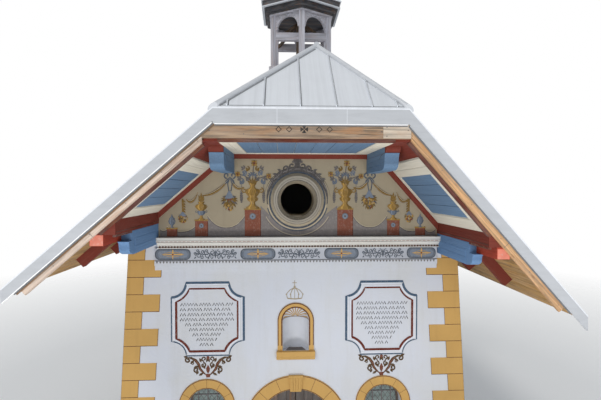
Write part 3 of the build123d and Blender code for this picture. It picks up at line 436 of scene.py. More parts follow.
DOWN = (0.3, 0.3, 0.05)
FINISHES = {
    "lime_render": lambda c: (make_render, c.render, srgb(200, 198, 190)),
    "ochre_render": lambda c: (make_render, c.ochre, scaled(c.ochre, 0.72)),
    "moulding_render": lambda c: (make_render, c.moulding, srgb(190, 184, 172)),
    "gable_render": lambda c: (make_render, c.gable, scaled(c.gable, 0.72)),
    "frieze_render": lambda c: (make_render, scaled(c.render, 0.84), scaled(c.render, 0.6)),
    "oculus_render": lambda c: (
        make_render, scaled(blended(c.moulding, c.gable, 0.75), 0.84), scaled(c.gable, 0.5)
    ),
    "sheet_slope": lambda c: (make_sheet, c.sheet, (2.2, 0.05, 2.2)),
    "sheet_hip": lambda c: (make_sheet, c.sheet, (0.05, 2.2, 2.2)),
    # The fascia metal is the roof metal made darker: painted shade on the upright faces and the right-hand bead.
    "sheet_edge": lambda c: (make_sheet, scaled(c.sheet, 0.64), DOWN, (-0.31, 0.62)),
    "sheet_roll": lambda c: (make_sheet, scaled(c.sheet, 0.82), DOWN),
    # Near black metal: painted shadow in the gaps under the drip beads and beside the hip seams and rolls.
    "sheet_fold": lambda c: (make_sheet, scaled(c.sheet, 0.22), DOWN),
    "sheet_shade": lambda c: (make_sheet, scaled(c.sheet, 0.36), DOWN),
    # The drip bead metal is the roof metal made lighter: a painted highlight.
    "sheet_bead": lambda c: (make_sheet, scaled(c.sheet, 1.3), DOWN),
    # Pale pink plate ends: partly faded end grain, partly painted sunlight.
    "faded_plate_end": lambda c: (make_paint, srgb(214, 128, 108), 0.5),
    "iron": lambda c: (make_iron,),
    "glass": lambda c: (make_glass,),
    "paving": lambda c: (make_paving,),
    "gilt": lambda c: (make_gilt, c.gilt),
}


def look(kind, how=1.0):
    """A material made once: a timber by its grain, a finish by its name or a paint by its shade."""
    if isinstance(how, str):
        name = f"{kind}_timber_{how}"
    elif kind in FINISHES:
        name = kind
    else:
        name = f"{kind}_paint" if how == 1.0 else f"{kind}_paint_{int(how * 100)}"
    found = bpy.data.materials.get(name)
    if found:
        return found
    if isinstance(how, str):
        return timber(name, kind, how)
    if kind in FINISHES:
        maker, *values = FINISHES[kind](colours())
        return maker(name, *values)
    return make_paint(name, scaled(getattr(colours(), kind), how))


def dress(nodes, *finish):
    """Give CAD nodes a finish."""
    for node in nodes.split():
        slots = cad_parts[node].data.materials
        slots.clear()
        slots.append(look(*finish))


# Pieces


class Piece:
    """One object gathered from boards, stones or strokes of paint."""

    def __init__(self, name, slot, place=on_facade, base=0.0, body="chapel"):
        self.name, self.slot, self.body = name, slot, body
        self.points, self.faces, self.kinds, self.materials = [], [], [], []
        self.kind = self.marks = 0
        self.on(place, base)

    def on(self, place, base=0.0):
        """What follows lies on this face, and paint lies this far out of it."""
        self.place, self.base = place, base
        return self

    def use(self, *finish):
        """What follows has this finish."""
        material = look(*finish)
        if material not in self.materials:
            self.materials.append(material)
        self.kind = self.materials.index(material)
        return self

    def face(self, points):
        """One flat face."""
        start = len(self.points)
        self.points.extend(points)
        self.faces.append(tuple(range(start, start + len(points))))
        self.kinds.append(self.kind)

    def loft(self, rings, closed=True, capped=True):
        """Faces between rings of points, with caps at both ends."""
        start, count, last = len(self.points), len(rings[0]), len(rings) - 1
        for ring in rings:
            self.points.extend(ring)
        for level in range(last):
            for i in range(count if closed else count - 1):
                a = start + level * count + i
                b = start + level * count + (i + 1) % count
                self.faces.append((a, b, b + count, a + count))
                self.kinds.append(self.kind)
        if capped:
            self.faces.append(tuple(range(start, start + count))[::-1])
            self.faces.append(tuple(range(start + last * count, start + last * count + count)))
            self.kinds += [self.kind, self.kind]

    def prism(self, outline, low, high):
        """A solid with a flat outline, between two distances out of its face."""
        self.loft([[self.place(u, v, w) for u, v in outline] for w in (low, high)])

    def box(self, u, v, w):
        """A board or block, given by its three ranges."""
        self.prism([(u[0], v[0]), (u[1], v[0]), (u[1], v[1]), (u[0], v[1])], *w)

    def stud(self, u, v, steps, count=8):
        """A nail head, given by its radii and heights."""
        self.loft([[self.place(a, b, w) for a, b in disc(u, v, r, count)] for r, w in steps])

    def raised(self, layer):
        """The height of a layer of paint, a hair above the last mark so that no two share a plane."""
        self.marks = (self.marks + 1) % 50
        return self.base + layer * sizes().paint + 0.00002 * self.marks

    def patch(self, outline, layer=1):
        """A flat patch of paint."""
        level = self.raised(layer)
        self.face([self.place(u, v, level) for u, v in outline])

    def stroke(self, points, width, layer=1, closed=False, taper=False):
        """A brush stroke along points: width is its full width, in places narrower at its ends."""
        level = self.raised(layer)
        count = len(points)
        left, right = [], []
        for i, (u, v) in enumerate(points):
            before = points[i - 1] if i or closed else points[i]
            after = points[(i + 1) % count] if i < count - 1 or closed else points[i]
            du, dv = after[0] - before[0], after[1] - before[1]
            span = hypot(du, dv) or 1.0
            half = width / 2
            if taper:
                half *= max(0.18, sin(pi * min(1.0, (i + 0.35) / count)))
            left.append(self.place(u - dv / span * half, v + du / span * half, level))
            right.append(self.place(u + dv / span * half, v - du / span * half, level))
        for i in range(count if closed else count - 1):
            j = (i + 1) % count
            self.face([left[i], left[j], right[j], right[i]])

    def make(self, bevel=0.0, smooth=False):
        """The finished object, riding on its body."""
        mesh = bpy.data.meshes.new(self.name)
        mesh.from_pydata([tuple(p) for p in self.points], [], self.faces)
        for material in self.materials:
            mesh.materials.append(material)
        for polygon, kind in zip(mesh.polygons, self.kinds):
            polygon.material_index = kind
            polygon.use_smooth = smooth
        made = bmesh.new()
        made.from_mesh(mesh)
        bmesh.ops.recalc_face_normals(made, faces=made.faces)
        made.to_mesh(mesh)
        made.free()
        thing = bpy.data.objects.new(self.name, mesh)
        bpy.context.scene.collection.objects.link(thing)
        if bevel:
            edge = thing.modifiers.new("worn_edges", "BEVEL")
            edge.width = bevel
            edge.segments = 1
            edge.limit_method = "ANGLE"
        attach(thing, self.body)
        return thing


def arc(u, v, radius, start, sweep, count=16):
    """Points on an arc, angles in degrees."""
    angles = [radians(start + sweep * i / count) for i in range(count + 1)]
    return [(u + radius * cos(a), v + radius * sin(a)) for a in angles]


def disc(u, v, radius, count=12):
    """Points of a round outline."""
    angles = [2 * pi * i / count for i in range(count)]
    return [(u + radius * cos(a), v + radius * sin(a)) for a in angles]


def ray(u, v, angle, *radii):
    """Points at some distances from a centre, in one direction."""
    return [(u + r * cos(radians(angle)), v + r * sin(radians(angle))) for r in radii]


def curl(u, v, radius, start, sweep, count=16, shrink=0.75):
    """A scroll that winds inwards from its outer end."""
    points = []
    for i in range(count + 1):
        t = i / count
        r = radius * (1 - shrink * t)
        a = radians(start + sweep * t)
        points.append((u + r * cos(a), v + r * sin(a)))
    return points


def leaf(u, v, angle, length, width):
    """A pointed leaf from its foot."""
    a = radians(angle)
    steps = ((0, 0), (0.3, 0.42), (0.6, 0.5), (1, 0), (0.6, -0.5), (0.3, -0.42))
    return [
        (u + length * s * cos(a) - width * t * sin(a), v + length * s * sin(a) + width * t * cos(a))
        for s, t in steps
    ]


def mirrored(side, angle):
    """An angle given for the right, or its mirror image."""
    return angle if side == RIGHT else 180 - angle


def sagging(start, end, sag, count):
    """Points of a swag hung between two points."""
    points = []
    for i in range(count + 1):
        t = i / count
        drop = 4 * sag * t * (1 - t)
        points.append((start[0] + (end[0] - start[0]) * t, start[1] + (end[1] - start[1]) * t - drop))
    return points


def arched(u, bottom, spring, radius, count=24):
    """Points up one jamb, over a round arch and down the other."""
    return [(u + radius, bottom)] + arc(u, spring, radius, 0, 180, count) + [(u - radius, bottom)]


# Walls


def quoins(piece, edge, inwards, top):
    """Alternate long and short painted blocks, from the top of a corner to the ground, with dark joints."""
    course, first = sizes().course, 4.65
    blocks = [(first, top, 0.30)]
    for number in range(int(first / course) + 1):
        high = first - number * course
        blocks.append((max(high - course, 0.001), high, (0.60, 0.30)[number % 2]))
    for low, high, reach in blocks:
        a, b = edge(low), edge(high)
        outline = [(a, low), (a + inwards * reach, low), (b + inwards * reach, high), (b, high)]
        piece.use("ochre_render").prism(outline, 0.0, quoin_relief)
        piece.use("brick", 0.35)
        if low > 0.01:
            piece.stroke(outline[:2], 0.009)
        piece.stroke(outline[1:3], 0.007)


def corners(side):
    """The quoins at both ends of a side wall."""
    piece = Piece(f"quoins_{NAME[side]}", "ochre")
    outer = lambda z: side * (outer_x(z) + quoin_relief)
    for place, edge, inwards in (
        (on_facade, outer, -side),
        (on_rear, outer, -side),
        (on_flank(side), lambda z: front_y - quoin_relief, 1),
        (on_flank(side), lambda z: rear_y + quoin_relief, -1),
    ):
        quoins(piece.on(place, quoin_relief), edge, inwards, {LEFT: 4.94, RIGHT: 4.74}[side])
    piece.make()


def pave():
    """Flagstones on the floor."""
    random.seed(3)
    piece = Piece("flagstones", "paving", on_level(0.12)).use("paving")
    gap, y = 0.006, -3.38
    while y < 3.3:
        depth = min(random.uniform(0.42, 0.6), 3.38 - y)
        x = -2.38
        while x < 2.3:
            width = min(random.uniform(0.45, 0.85), 2.38 - x)
            piece.box((x + gap, x + width - gap), (y + gap, y + depth - gap), (0, gap))
            x += width
        y += depth
    piece.make(0.003)


def plaster_over():
    """White render on the strips of gable beside the painted field."""
    piece = Piece("gable_shoulders", "plaster").use("lime_render")
    for side, edge in ((LEFT, -2.45), (RIGHT, 2.61)):
        outline = [(edge, 4.64), (side * outer_x(4.64), 4.64), (side * outer_x(5.06), 5.06)]
        outline.append((edge, min(slope_z(side, edge, rafter_under), 5.3)))
        piece.prism(outline, 0.0, 0.002)
    piece.make()


class CHAPEL_OT_walls(bpy.types.Operator):
    """Render the walls, pave the floor and paint the quoins"""

    bl_idname = "chapel.walls"
    bl_label = "Walls and quoins"

    def execute(self, context):
        dress("front_wall_left front_wall_right front_wall_over_door rear_wall", "lime_render")
        dress("side_wall_left side_wall_right", "lime_render")
        dress("gable_wall", "gable_render")
        dress("floor_slab", "paving")
        for side in SIDES:
            corners(side)
        pave()
        plaster_over()
        return {"FINISHED"}


# Notch, hollow of the corners, offset of the pale line, shade, width, first point of the broad half
BORDERS = {
    "blue": (0.262, 1.0, 0.03, 0.4, 0.022, {LEFT: 17, RIGHT: 18}),
    "red": (0.235, 0.55, -0.028, 0.6, 0.03, {LEFT: 0, RIGHT: 35}),
}


def border(piece, side, u0, u1, v0, v1, kind):
    """A line round a panel, broad on the sides that catch its painted light or shade."""
    notch, hollow, off, shade, width, first = BORDERS[kind]
    path = notched(u0, u1, v0, v1, notch, hollow)
    piece.use("render", 1.12)
    piece.stroke(notched(u0 + off, u1 - off, v0 + off, v1 - off, notch, hollow), 0.016, closed=True)
    piece.use(kind, shade)
    piece.stroke(path, width, 2, closed=True)
    piece.stroke([path[(first[side] + k) % 36] for k in range(19)], 0.042, 3)


def notched(u0, u1, v0, v1, notch, hollow):
    """A rectangle with its corners cut off, from straight (0) to a hollow quarter circle (1)."""
    points = []
    for u, v, start in ((u0, v0, 90), (u1, v0, 180), (u1, v1, 270), (u0, v1, 0)):
        hollow_cut = arc(u, v, notch, start, -90, 8)
        (a, b), (c, d) = hollow_cut[0], hollow_cut[-1]
        for k, (p, q) in enumerate(hollow_cut):
            s, t = a + (c - a) * k / 8, b + (d - b) * k / 8
            points.append((s + (p - s) * hollow, t + (q - t) * hollow))
    return points


def zigzags(piece, middle, top):
    """Rows of plain zigzag strokes, narrower towards the foot: a pattern without words."""
    random.seed(5)
    piece.use("stone", 0.09)
    step = 0.025
    for row, half in enumerate((0.47, 0.48, 0.48, 0.48, 0.39, 0.32, 0.26, 0.19, 0.13)):
        v, u = top - 0.285 - 0.091 * row, middle - half
        while u < middle + half - 0.04:
            count = min(2 * random.randint(2, 6), int((middle + half - u) / step))
            points = [(u + step * k, v + (0.026 if k % 2 else -0.026)) for k in range(count + 1)]
            piece.stroke(points, 0.0135)
            u += step * count + 0.036


def foliage(piece, centre, top):
    """Leafy scrolls that spread from a foot up to the panel."""
    for side in SIDES:
        at = lambda *points: [(centre + side * u, top + v) for u, v in points]
        piece.use("barge", 0.115)
        stem = at(
            (0.02, -0.36), (0.08, -0.31), (0.14, -0.24), (0.17, -0.15), (0.22, -0.08), (0.3, -0.035), (0.38, -0.03)
        )
        piece.stroke(stem, 0.056, taper=True)
        for u, v, r, start, sweep, width in (
            (0.36, -0.075, 0.05, 90, -400, 0.03),
            (0.21, -0.25, 0.05, 250, 380, 0.03),
            (0.085, -0.17, 0.05, 90, 400, 0.026),
            (0.07, -0.055, 0.045, 270, 380, 0.024),
            (0.27, -0.13, 0.035, 90, -330, 0.016),
        ):
            piece.stroke(curl(centre + side * u, top + v, r, mirrored(side, start), side * sweep, 18), width)
        for angle, u, v, length in (
            (20, 0.36, -0.03, 0.08), (-35, 0.24, -0.08, 0.1), (-10, 0.16, -0.19, 0.1), (-60, 0.17, -0.27, 0.08),
            (70, 0.12, -0.12, 0.09), (110, 0.03, -0.12, 0.1), (-30, 0.08, -0.31, 0.1), (60, 0.05, -0.24, 0.09),
        ):
            piece.patch(leaf(centre + side * u, top + v, mirrored(side, angle), length, 0.045), 2)
        piece.use("brick", 0.85)
        piece.stroke(at((0.05, -0.33), (0.13, -0.26), (0.165, -0.15), (0.25, -0.055)), 0.018, 3, taper=True)
    piece.use("brick", 0.7)
    piece.patch(leaf(centre, top - 0.33, 90, 0.17, 0.07), 2)
    piece.patch(disc(centre, top - 0.035, 0.03), 2)
    knot = ((-0.05, -0.33), (0.05, -0.33), (0.03, -0.395), (-0.03, -0.395))
    piece.patch([(centre + u, top + v) for u, v in knot], 2)


class CHAPEL_OT_panels(bpy.types.Operator):
    """Paint the two framed panels and the foliage under them"""

    bl_idname = "chapel.panels"
    bl_label = "Wall panels"

    def execute(self, context):
        piece = Piece("painted_panels", "plaster")
        for side, outer, inner in (
            (LEFT, (-2.234, -0.942, 2.908, 4.233), (-2.149, -1.051, 2.987, 4.124)),
            (RIGHT, (0.926, 2.234, 2.880, 4.222), (1.035, 2.149, 2.968, 4.112)),
        ):
            border(piece, side, *outer, "blue")
            border(piece, -side, *inner, "red")
            zigzags(piece, (inner[0] + inner[1]) / 2, inner[3])
            foliage(piece, (outer[0] + outer[1]) / 2, outer[2] - 0.005)
        piece.make()
        return {"FINISHED"}


# Facade trim


def frieze_painting():
    """Cartouches and scrolls on the frieze, and the fine lines of the entablature."""
    piece = Piece("frieze_painting", "moulding", base=0.035)
    for u, half in ((-2.19, 0.315), (-0.68, 0.315), (0.83, 0.315), (2.30, 0.27)):
        cartouche(piece, u, 4.752, half)
    for u in (-1.44, 0.06, 1.59):
        scrollwork(piece, u, 4.752)
    piece.use("stone", 0.75)
    for v in (4.643, 4.862):
        piece.stroke([(-2.505, v), (2.585, v)], 0.007)
    piece.on(on_facade, 0.15).use("brick", 1.6)
    for k in range(67):
        u = -2.44 + 0.075 * k
        piece.stroke([(u, 4.992), (u + 0.05, 4.992)], 0.006)
    piece.use("stone")
    for v, width in ((4.978, 0.006), (5.012, 0.004)):
        piece.stroke([(-2.45, v), (2.61, v)], width)
    piece.make()


def cartouche(piece, u, v, half):
    """A rounded field shaded at its edge, with a long lens and a cross stroke."""
    for inset, height, layer, shade in ((0, 0.1, 1, 0.5), (0.022, 0.082, 2, 0.8), (0.055, 0.064, 3, 1.1)):
        width, cut = half - inset, height * 0.85
        outline = []
        for su, sv, start in ((-1, -1, 180), (1, -1, 270), (1, 1, 0), (-1, 1, 90)):
            outline += arc(u + su * (width - cut), v + sv * (height - cut), cut, start, 90, 6)
        piece.use("slate", shade).patch(outline, layer)
    for reach, rise, kind, shade, layer in ((0.115, 0.046, "ochre", 0.8, 4), (0.13, 0.036, "slate", 1.0, 5)):
        wide = half - reach
        top = [(u - wide + 2 * wide * k / 12, v + rise * sin(pi * k / 12)) for k in range(13)]
        low = [(u + wide - 2 * wide * k / 12, v - rise * sin(pi * k / 12)) for k in range(1, 12)]
        piece.use(kind, shade).patch(top + low, layer)
    piece.use("ochre")
    piece.stroke([(u - 0.17, v), (u, v), (u + 0.17, v)], 0.026, 6, taper=True)
    piece.stroke([(u, v - 0.085), (u, v), (u, v + 0.085)], 0.03, 6, taper=True)
    piece.use("brick", 0.9).patch(disc(u, v, 0.018, 8), 7)


def scrollwork(piece, u, v):
    """A dense run of curls and leaves on both sides of a middle leaf."""
    piece.use("slate", 0.55)
    for side in SIDES:
        for offset, lift, radius, spin in (
            (0.06, 0.035, 0.045, 1), (0.075, -0.04, 0.042, -1), (0.15, -0.02, 0.055, 1), (0.16, 0.06, 0.03, -1),
            (0.225, 0.035, 0.045, -1), (0.24, -0.055, 0.032, 1), (0.3, -0.02, 0.05, 1), (0.315, 0.06, 0.03, -1),
            (0.36, 0.01, 0.032, -1),
        ):
            piece.stroke(curl(u + side * offset, v + lift, radius, spin * 90, spin * side * 430, 18, 0.8), 0.014, 2)
        stem = ((0, -0.03), (0.1, 0.01), (0.2, -0.005), (0.36, 0.02))
        piece.stroke([(u + side * a, v + b) for a, b in stem], 0.015, 2)
        for offset, lift, tip in ((0.11, -0.05, -60), (0.19, 0.02, 60), (0.27, 0.03, 50), (0.34, -0.04, -50)):
            piece.patch(leaf(u + side * offset, v + lift, mirrored(side, tip), 0.055, 0.024), 2)
    piece.patch(leaf(u, v - 0.08, 90, 0.16, 0.04), 2)


def dots_and_drops():
    """Small dark sockets under the cornice and drops on the architrave."""
    piece = Piece("cornice_dots", "moulding").use("brick", 0.45)
    u = -2.42
    while u < 2.6:
        piece.box((u, u + 0.022), (4.876, 4.900), (0.05, 0.082))
        u += 0.052
    piece.use("moulding").box((-2.45, 2.61), (4.862, 4.872), (0.05, 0.085))
    piece.use("stone", 0.62)
    u = -2.48
    while u < 2.56:
        piece.prism([(u, 4.628), (u + 0.034, 4.628), (u + 0.017, 4.592)], 0.055, 0.062)
        u += 0.058
    piece.make()


class CHAPEL_OT_entablature(bpy.types.Operator):
    """Paint the frieze and set the dots and drops of the entablature"""

    bl_idname = "chapel.entablature"
    bl_label = "Entablature"

    def execute(self, context):
        dress("cornice", "moulding_render")
        dress("architrave", "lime_render")
        dress("frieze", "frieze_render")
        frieze_painting()
        dots_and_drops()
        return {"FINISHED"}


def door_surround():
    """Joint lines of the arch stones and the ribs of the keystone."""
    piece = Piece("door_arch_lines", "ochre", base=surround_relief).use("brick", 0.5)
    for radius in (0.712, 0.948):
        piece.stroke(arched(0, 0.0, door_spring, radius), 0.012)
    for angle in (22.5, 45, 67.5, 112.5, 135, 157.5):
        piece.stroke(ray(0, door_spring, angle, 0.72, 0.94), 0.006)
    for z in (0.35, 0.7, 1.05, 1.4):
        for side in SIDES:
            piece.stroke([(side * 0.715, z), (side * 0.945, z)], 0.006)
    piece.make()
    key = Piece("keystone_ribs", "ochre").use("ochre_render")
    for u in (-0.075, -0.025, 0.025, 0.075):
        low = u * 0.85
        key.prism([(low - 0.018, 2.25), (low + 0.018, 2.25), (u + 0.021, 2.49), (u - 0.021, 2.49)], 0.045, 0.055)
    key.prism([(-0.13, 2.49), (0.13, 2.49), (0.135, 2.525), (-0.135, 2.525)], surround_relief, 0.062)
    key.make(0.003)


def door_leaf(side):
    """Upright boards with nails on the outer face of a leaf, and the ring of the right one."""
    body, front = f"leaf_{NAME[side]}", upright(-3.742)
    piece = Piece(f"door_boards_{NAME[side]}", "boards_dark", front, body=body).use("door", "upright")
    width, gap, radius, foot = sizes().door_board, 0.004, 0.688, 0.135
    u = 0.008
    while u < radius - 0.01:
        edge = min(u + width, radius)
        outline = [(side * u, foot), (side * (edge - gap), foot)]
        for x in (edge - gap, (u + edge) / 2, u):
            outline.append((side * x, door_spring + (max(radius**2 - x * x, 0.0)) ** 0.5))
        piece.prism(outline, -0.001, 0.016)
        u = edge
    piece.make(0.003)
    iron = Piece(f"door_nails_{NAME[side]}", "iron", front, body=body).use("iron")
    for z in (0.42, 0.9, 1.38):
        u = 0.05
        while u < 0.66:
            iron.stud(side * u, z, ((0.011, 0.015), (0.009, 0.021), (0.004, 0.024)))
            u += 0.0825
    if side == RIGHT:
        iron.box((0.035, 0.095), (0.98, 1.2), (0.016, 0.021))
        ring = []
        for a in (2 * pi * i / 16 for i in range(17)):
            section = [(0.042 + 0.006 * cos(2 * pi * k / 6), 0.006 * sin(2 * pi * k / 6)) for k in range(6)]
            ring.append([front(0.065 + r * sin(a), 1.05 + r * cos(a), 0.03 + w) for r, w in section])
        iron.loft(ring, capped=False)
    iron.make(smooth=True)


class CHAPEL_OT_door(bpy.types.Operator):
    """Paint the door surround and board the two leaves"""

    bl_idname = "chapel.door"
    bl_label = "Door"

    def execute(self, context):
        dress("door_surround", "ochre_render")
        dress("door_pintles", "iron")
        dress("door_leaf_left door_leaf_right", "door", "upright")
        door_surround()
        for side in SIDES:
            door_leaf(side)
        return {"FINISHED"}


def window(name, place, u):
    """A frame, leads and an iron grille in one opening."""
    casing = Piece(f"window_frame_{name}", "ochre", place).use("door", "upright")
    outer = arched(u, window_sill, window_spring, 0.338)
    inner = arched(u, window_sill + 0.04, window_spring, 0.298)
    casing.prism(outer + inner[::-1], -glass_depth, -glass_depth + 0.03)
    casing.box((u - 0.3, u + 0.3), (window_sill, window_sill + 0.04), (-glass_depth, -glass_depth + 0.035))
    casing.make()
    leads = Piece(f"window_leads_{name}", "iron", place, -glass_depth + 0.002).use("iron")
    for k in range(-8, 9):
        for tilt in (1, -1):
            run = lead(u, k * 0.13, tilt)
            if run:
                leads.stroke(run, 0.008, 0)
    leads.make()
    bars = Piece(f"window_bars_{name}", "iron", place).use("iron")
    grille = 0.1
    for offset in (-0.17, 0.0, 0.17):
        top, x = window_spring + (0.335**2 - offset**2) ** 0.5, u + offset
        bars.box((x - 0.009, x + 0.009), (window_sill, top), (-grille - 0.009, -grille + 0.009))
    for z in (1.2, 1.45, 1.7, 1.95, 2.15):
        half = 0.338 if z < window_spring else (0.338**2 - (z - window_spring) ** 2) ** 0.5
        bars.box((u - half, u + half), (z - 0.006, z + 0.006), (-grille - 0.014, -grille + 0.014))
    bars.make(0.002)


def lead(u, offset, tilt):
    """The part of a slanting lead that lies inside the opening."""
    inside = []
    for i in range(81):
        a = -0.33 + 0.66 * i / 80
        b = 1.62 + offset + tilt * a * 1.35
        below = 1.04 <= b <= window_spring
        if abs(a) < 0.3 and (below or (b > window_spring and hypot(a, b - window_spring) < 0.3)):
            inside.append((u + a, b))
    return [inside[0], inside[-1]] if len(inside) > 3 else None


def flank_surround(side):
    """A painted ring round the window of a side wall."""
    piece = Piece(f"window_ring_flank_{NAME[side]}", "ochre", on_flank(side)).use("ochre_render")
    inner = arched(0, window_sill, window_spring, 0.345)
    outer = arched(0, 0.83, window_spring, 0.51)
    for i in range(len(inner) - 1):
        piece.prism([inner[i], inner[i + 1], outer[i + 1], outer[i]], 0.0, 0.014)
    piece.box((-0.51, 0.51), (0.83, window_sill), (0.0, 0.014))
    piece.make()


def surround_lines():
    """Dark lines round the painted rings of the facade."""
    piece = Piece("window_lines", "ochre", base=surround_relief).use("brick", 0.5)
    for u in (-window_x, window_x):
        for foot, radius in ((window_sill, 0.35), (0.83, 0.502)):
            piece.stroke(arched(u, foot, window_spring, radius), 0.010)
        for angle in (30, 60, 90, 120, 150):
            piece.stroke(ray(u, window_spring, angle, 0.355, 0.497), 0.005)
    piece.make()


class CHAPEL_OT_windows(bpy.types.Operator):
    """Lead and bar the four windows and paint their surrounds"""

    bl_idname = "chapel.windows"
    bl_label = "Windows"

    def execute(self, context):
        dress("window_panes", "glass")
        dress("window_surround_left window_surround_right", "ochre_render")
        for side in SIDES:
            window(f"front_{NAME[side]}", on_facade, side * window_x)
        for side in SIDES:
            window(f"flank_{NAME[side]}", cheek(side * half_width, side), 0.0)
        for side in SIDES:
            flank_surround(side)
        surround_lines()
        return {"FINISHED"}


def shell(piece):
    """Gold rays over the half dome from the middle of its foot, and a pale rim."""
    radius, count = 0.2385, 8
    piece.use("gold", 1.5)
    for i in range(11):
        lean = radians(8 + 16.4 * i)
        left, right = [], []
        for k in range(count + 1):
            r = 0.035 + 0.19 * k / count
            half, y = (0.005 + 0.007 * k / count) / r, front_y + (radius**2 - r * r) ** 0.5
            for edge, a in ((left, lean + half), (right, lean - half)):
                edge.append(Vector((r * cos(a), y, niche_spring + r * sin(a))))
        for k in range(count):
            piece.face([left[k], left[k + 1], right[k + 1], right[k]])
    piece.use("stone", 1.2)
    rim = lambda a, b: Vector(
        (radius * sin(a) * cos(b), front_y + radius * cos(a) * cos(b), niche_spring + radius * sin(b))
    )
    for k in range(16):
        a, b = -pi / 2 + pi * k / 16, -pi / 2 + pi * (k + 1) / 16
        piece.face([rim(a, 0.0), rim(b, 0.0), rim(b, 0.08), rim(a, 0.08)])


def crown(piece, u, v):
    """A faint painted crown with a small cross."""
    piece.use("gable", 0.85)
    piece.stroke([(u - 0.13, v), (u, v - 0.012), (u + 0.13, v)], 0.022)
    for offset in (-0.13, -0.065, 0.065, 0.13):
        wide = u + offset * 1.15
        piece.stroke([(u + offset, v), (wide, v + 0.08), (u + offset * 0.7, v + 0.15), (u, v + 0.2)], 0.015)
        piece.patch(disc(wide, v + 0.075, 0.014, 8), 2)
    piece.stroke([(u, v - 0.01), (u, v + 0.2)], 0.01)
    piece.patch(disc(u, v + 0.215, 0.02, 10))
    piece.stroke([(u, v + 0.22), (u, v + 0.33)], 0.012)
    piece.stroke([(u - 0.04, v + 0.285), (u + 0.04, v + 0.285)], 0.012)


class CHAPEL_OT_niche(bpy.types.Operator):
    """Paint the niche, its shell and the crown above it"""

    bl_idname = "chapel.niche"
    bl_label = "Niche"

    def execute(self, context):
        dress("niche_surround", "ochre_render")
        piece = Piece("niche_painting", "ochre", base=surround_relief).use("brick", 0.4)
        for radius, width in ((0.253, 0.022), (0.321, 0.015)):
            piece.stroke(arched(0, 3.07, niche_spring, radius), width)
        piece.stroke([(-0.32, 2.885), (0.32, 2.885)], 0.009)
        piece.on(on_level(2.972), 0.003).use("stone", 0.6)
        piece.patch([(-0.19, -3.99), (0.19, -3.99), (0.12, -3.84), (-0.12, -3.84)], 0)
        shell(piece)
        crown(piece.on(on_facade), -0.02, 3.93)
        piece.make()
        return {"FINISHED"}


def fillets():
    """Painted shade in the hollows of the oculus moulding, and fine fillets."""
    piece = Piece("oculus_fillets", "moulding", base=0.061)
    for shade, r0, w0, r1, w1 in ((0.5, 0.306, 0.0225, 0.352, 0.0585), (1.05, 0.437, 0.0595, 0.483, 0.003)):
        piece.use("gable", shade)
        inner = [on_facade(u, v, w0) for u, v in disc(*oculus, r0, 56)]
        outer = [on_facade(u, v, w1) for u, v in disc(*oculus, r1, 56)]
        for i in range(56):
            j = (i + 1) % 56
            piece.face([inner[i], inner[j], outer[j], outer[i]])
    for shade, radius, width in ((0.45, 0.357, 0.011), (0.8, 0.394, 0.008), (0.7, 0.434, 0.007)):
        piece.use("stone", shade).stroke(disc(*oculus, radius, 56), width, 0, closed=True)
    piece.make()


class CHAPEL_OT_oculus(bpy.types.Operator):
    """Finish the round opening and the painted ring and scrolls about it"""

    bl_idname = "chapel.oculus"
    bl_label = "Oculus"

    def execute(self, context):
        dress("oculus_moulding", "oculus_render")
        piece = Piece("oculus_painting", "moulding")
        for kind, shade, radius, start, sweep, count, width, layer, taper in (
            ("stone", 0.4, 0.545, -8, 196, 48, 0.11, 1, True),
            ("stone", 0.2, 0.600, 6, 168, 48, 0.014, 2, True),
            ("stone", 1.15, 0.56, 20, 140, 36, 0.012, 3, False),
            ("slate", 0.4, 0.5, 0, 360, 56, 0.03, 3, False),
            ("gable", 1.4, 0.53, 190, 160, 36, 0.016, 4, False),
            ("slate", 0.5, 0.556, 195, 150, 36, 0.018, 4, False),
        ):
            line = disc(*oculus, radius, count) if sweep == 360 else arc(*oculus, radius, start, sweep, count)
            piece.use(kind, shade).stroke(line, width, layer, sweep == 360, taper)
        u = oculus[0]
        for side in SIDES:
            for du, z, r, width, spin in (
                (0.095, 6.335, 0.078, 0.032, 1), (0.045, 6.43, 0.036, 0.018, -1), (0.215, 6.28, 0.062, 0.028, -1),
                (0.31, 6.215, 0.045, 0.022, 1), (0.385, 6.15, 0.038, 0.018, -1), (0.46, 6.07, 0.034, 0.016, 1),
            ):
                x, start, turn = u + side * du, spin * 90, side * spin
                piece.use("stone", 0.42).stroke(curl(x, z, r, start, turn * 430, 20), width, 4)
                piece.use("stone", 0.95).stroke(curl(x, z + 0.004, r, start, turn * 160, 9), width * 0.3, 5)
            piece.use("stone", 0.5)
            for du, z, angle, length in (
                (0.14, 6.29, 35, 0.1), (0.27, 6.24, 20, 0.1), (0.35, 6.18, 5, 0.1), (0.43, 6.11, -10, 0.09),
                (0.03, 6.4, 60, 0.08),
            ):
                piece.patch(leaf(u + side * du, z, mirrored(side, angle), length, 0.04), 4)
        piece.use("stone", 0.42).patch(leaf(u, 6.31, 90, 0.2, 0.075), 5)
        piece.make()
        fillets()
        return {"FINISHED"}


# The painted gable

GOLD = (("gold",), ("gold", 0.55), ("gold", 1.7))


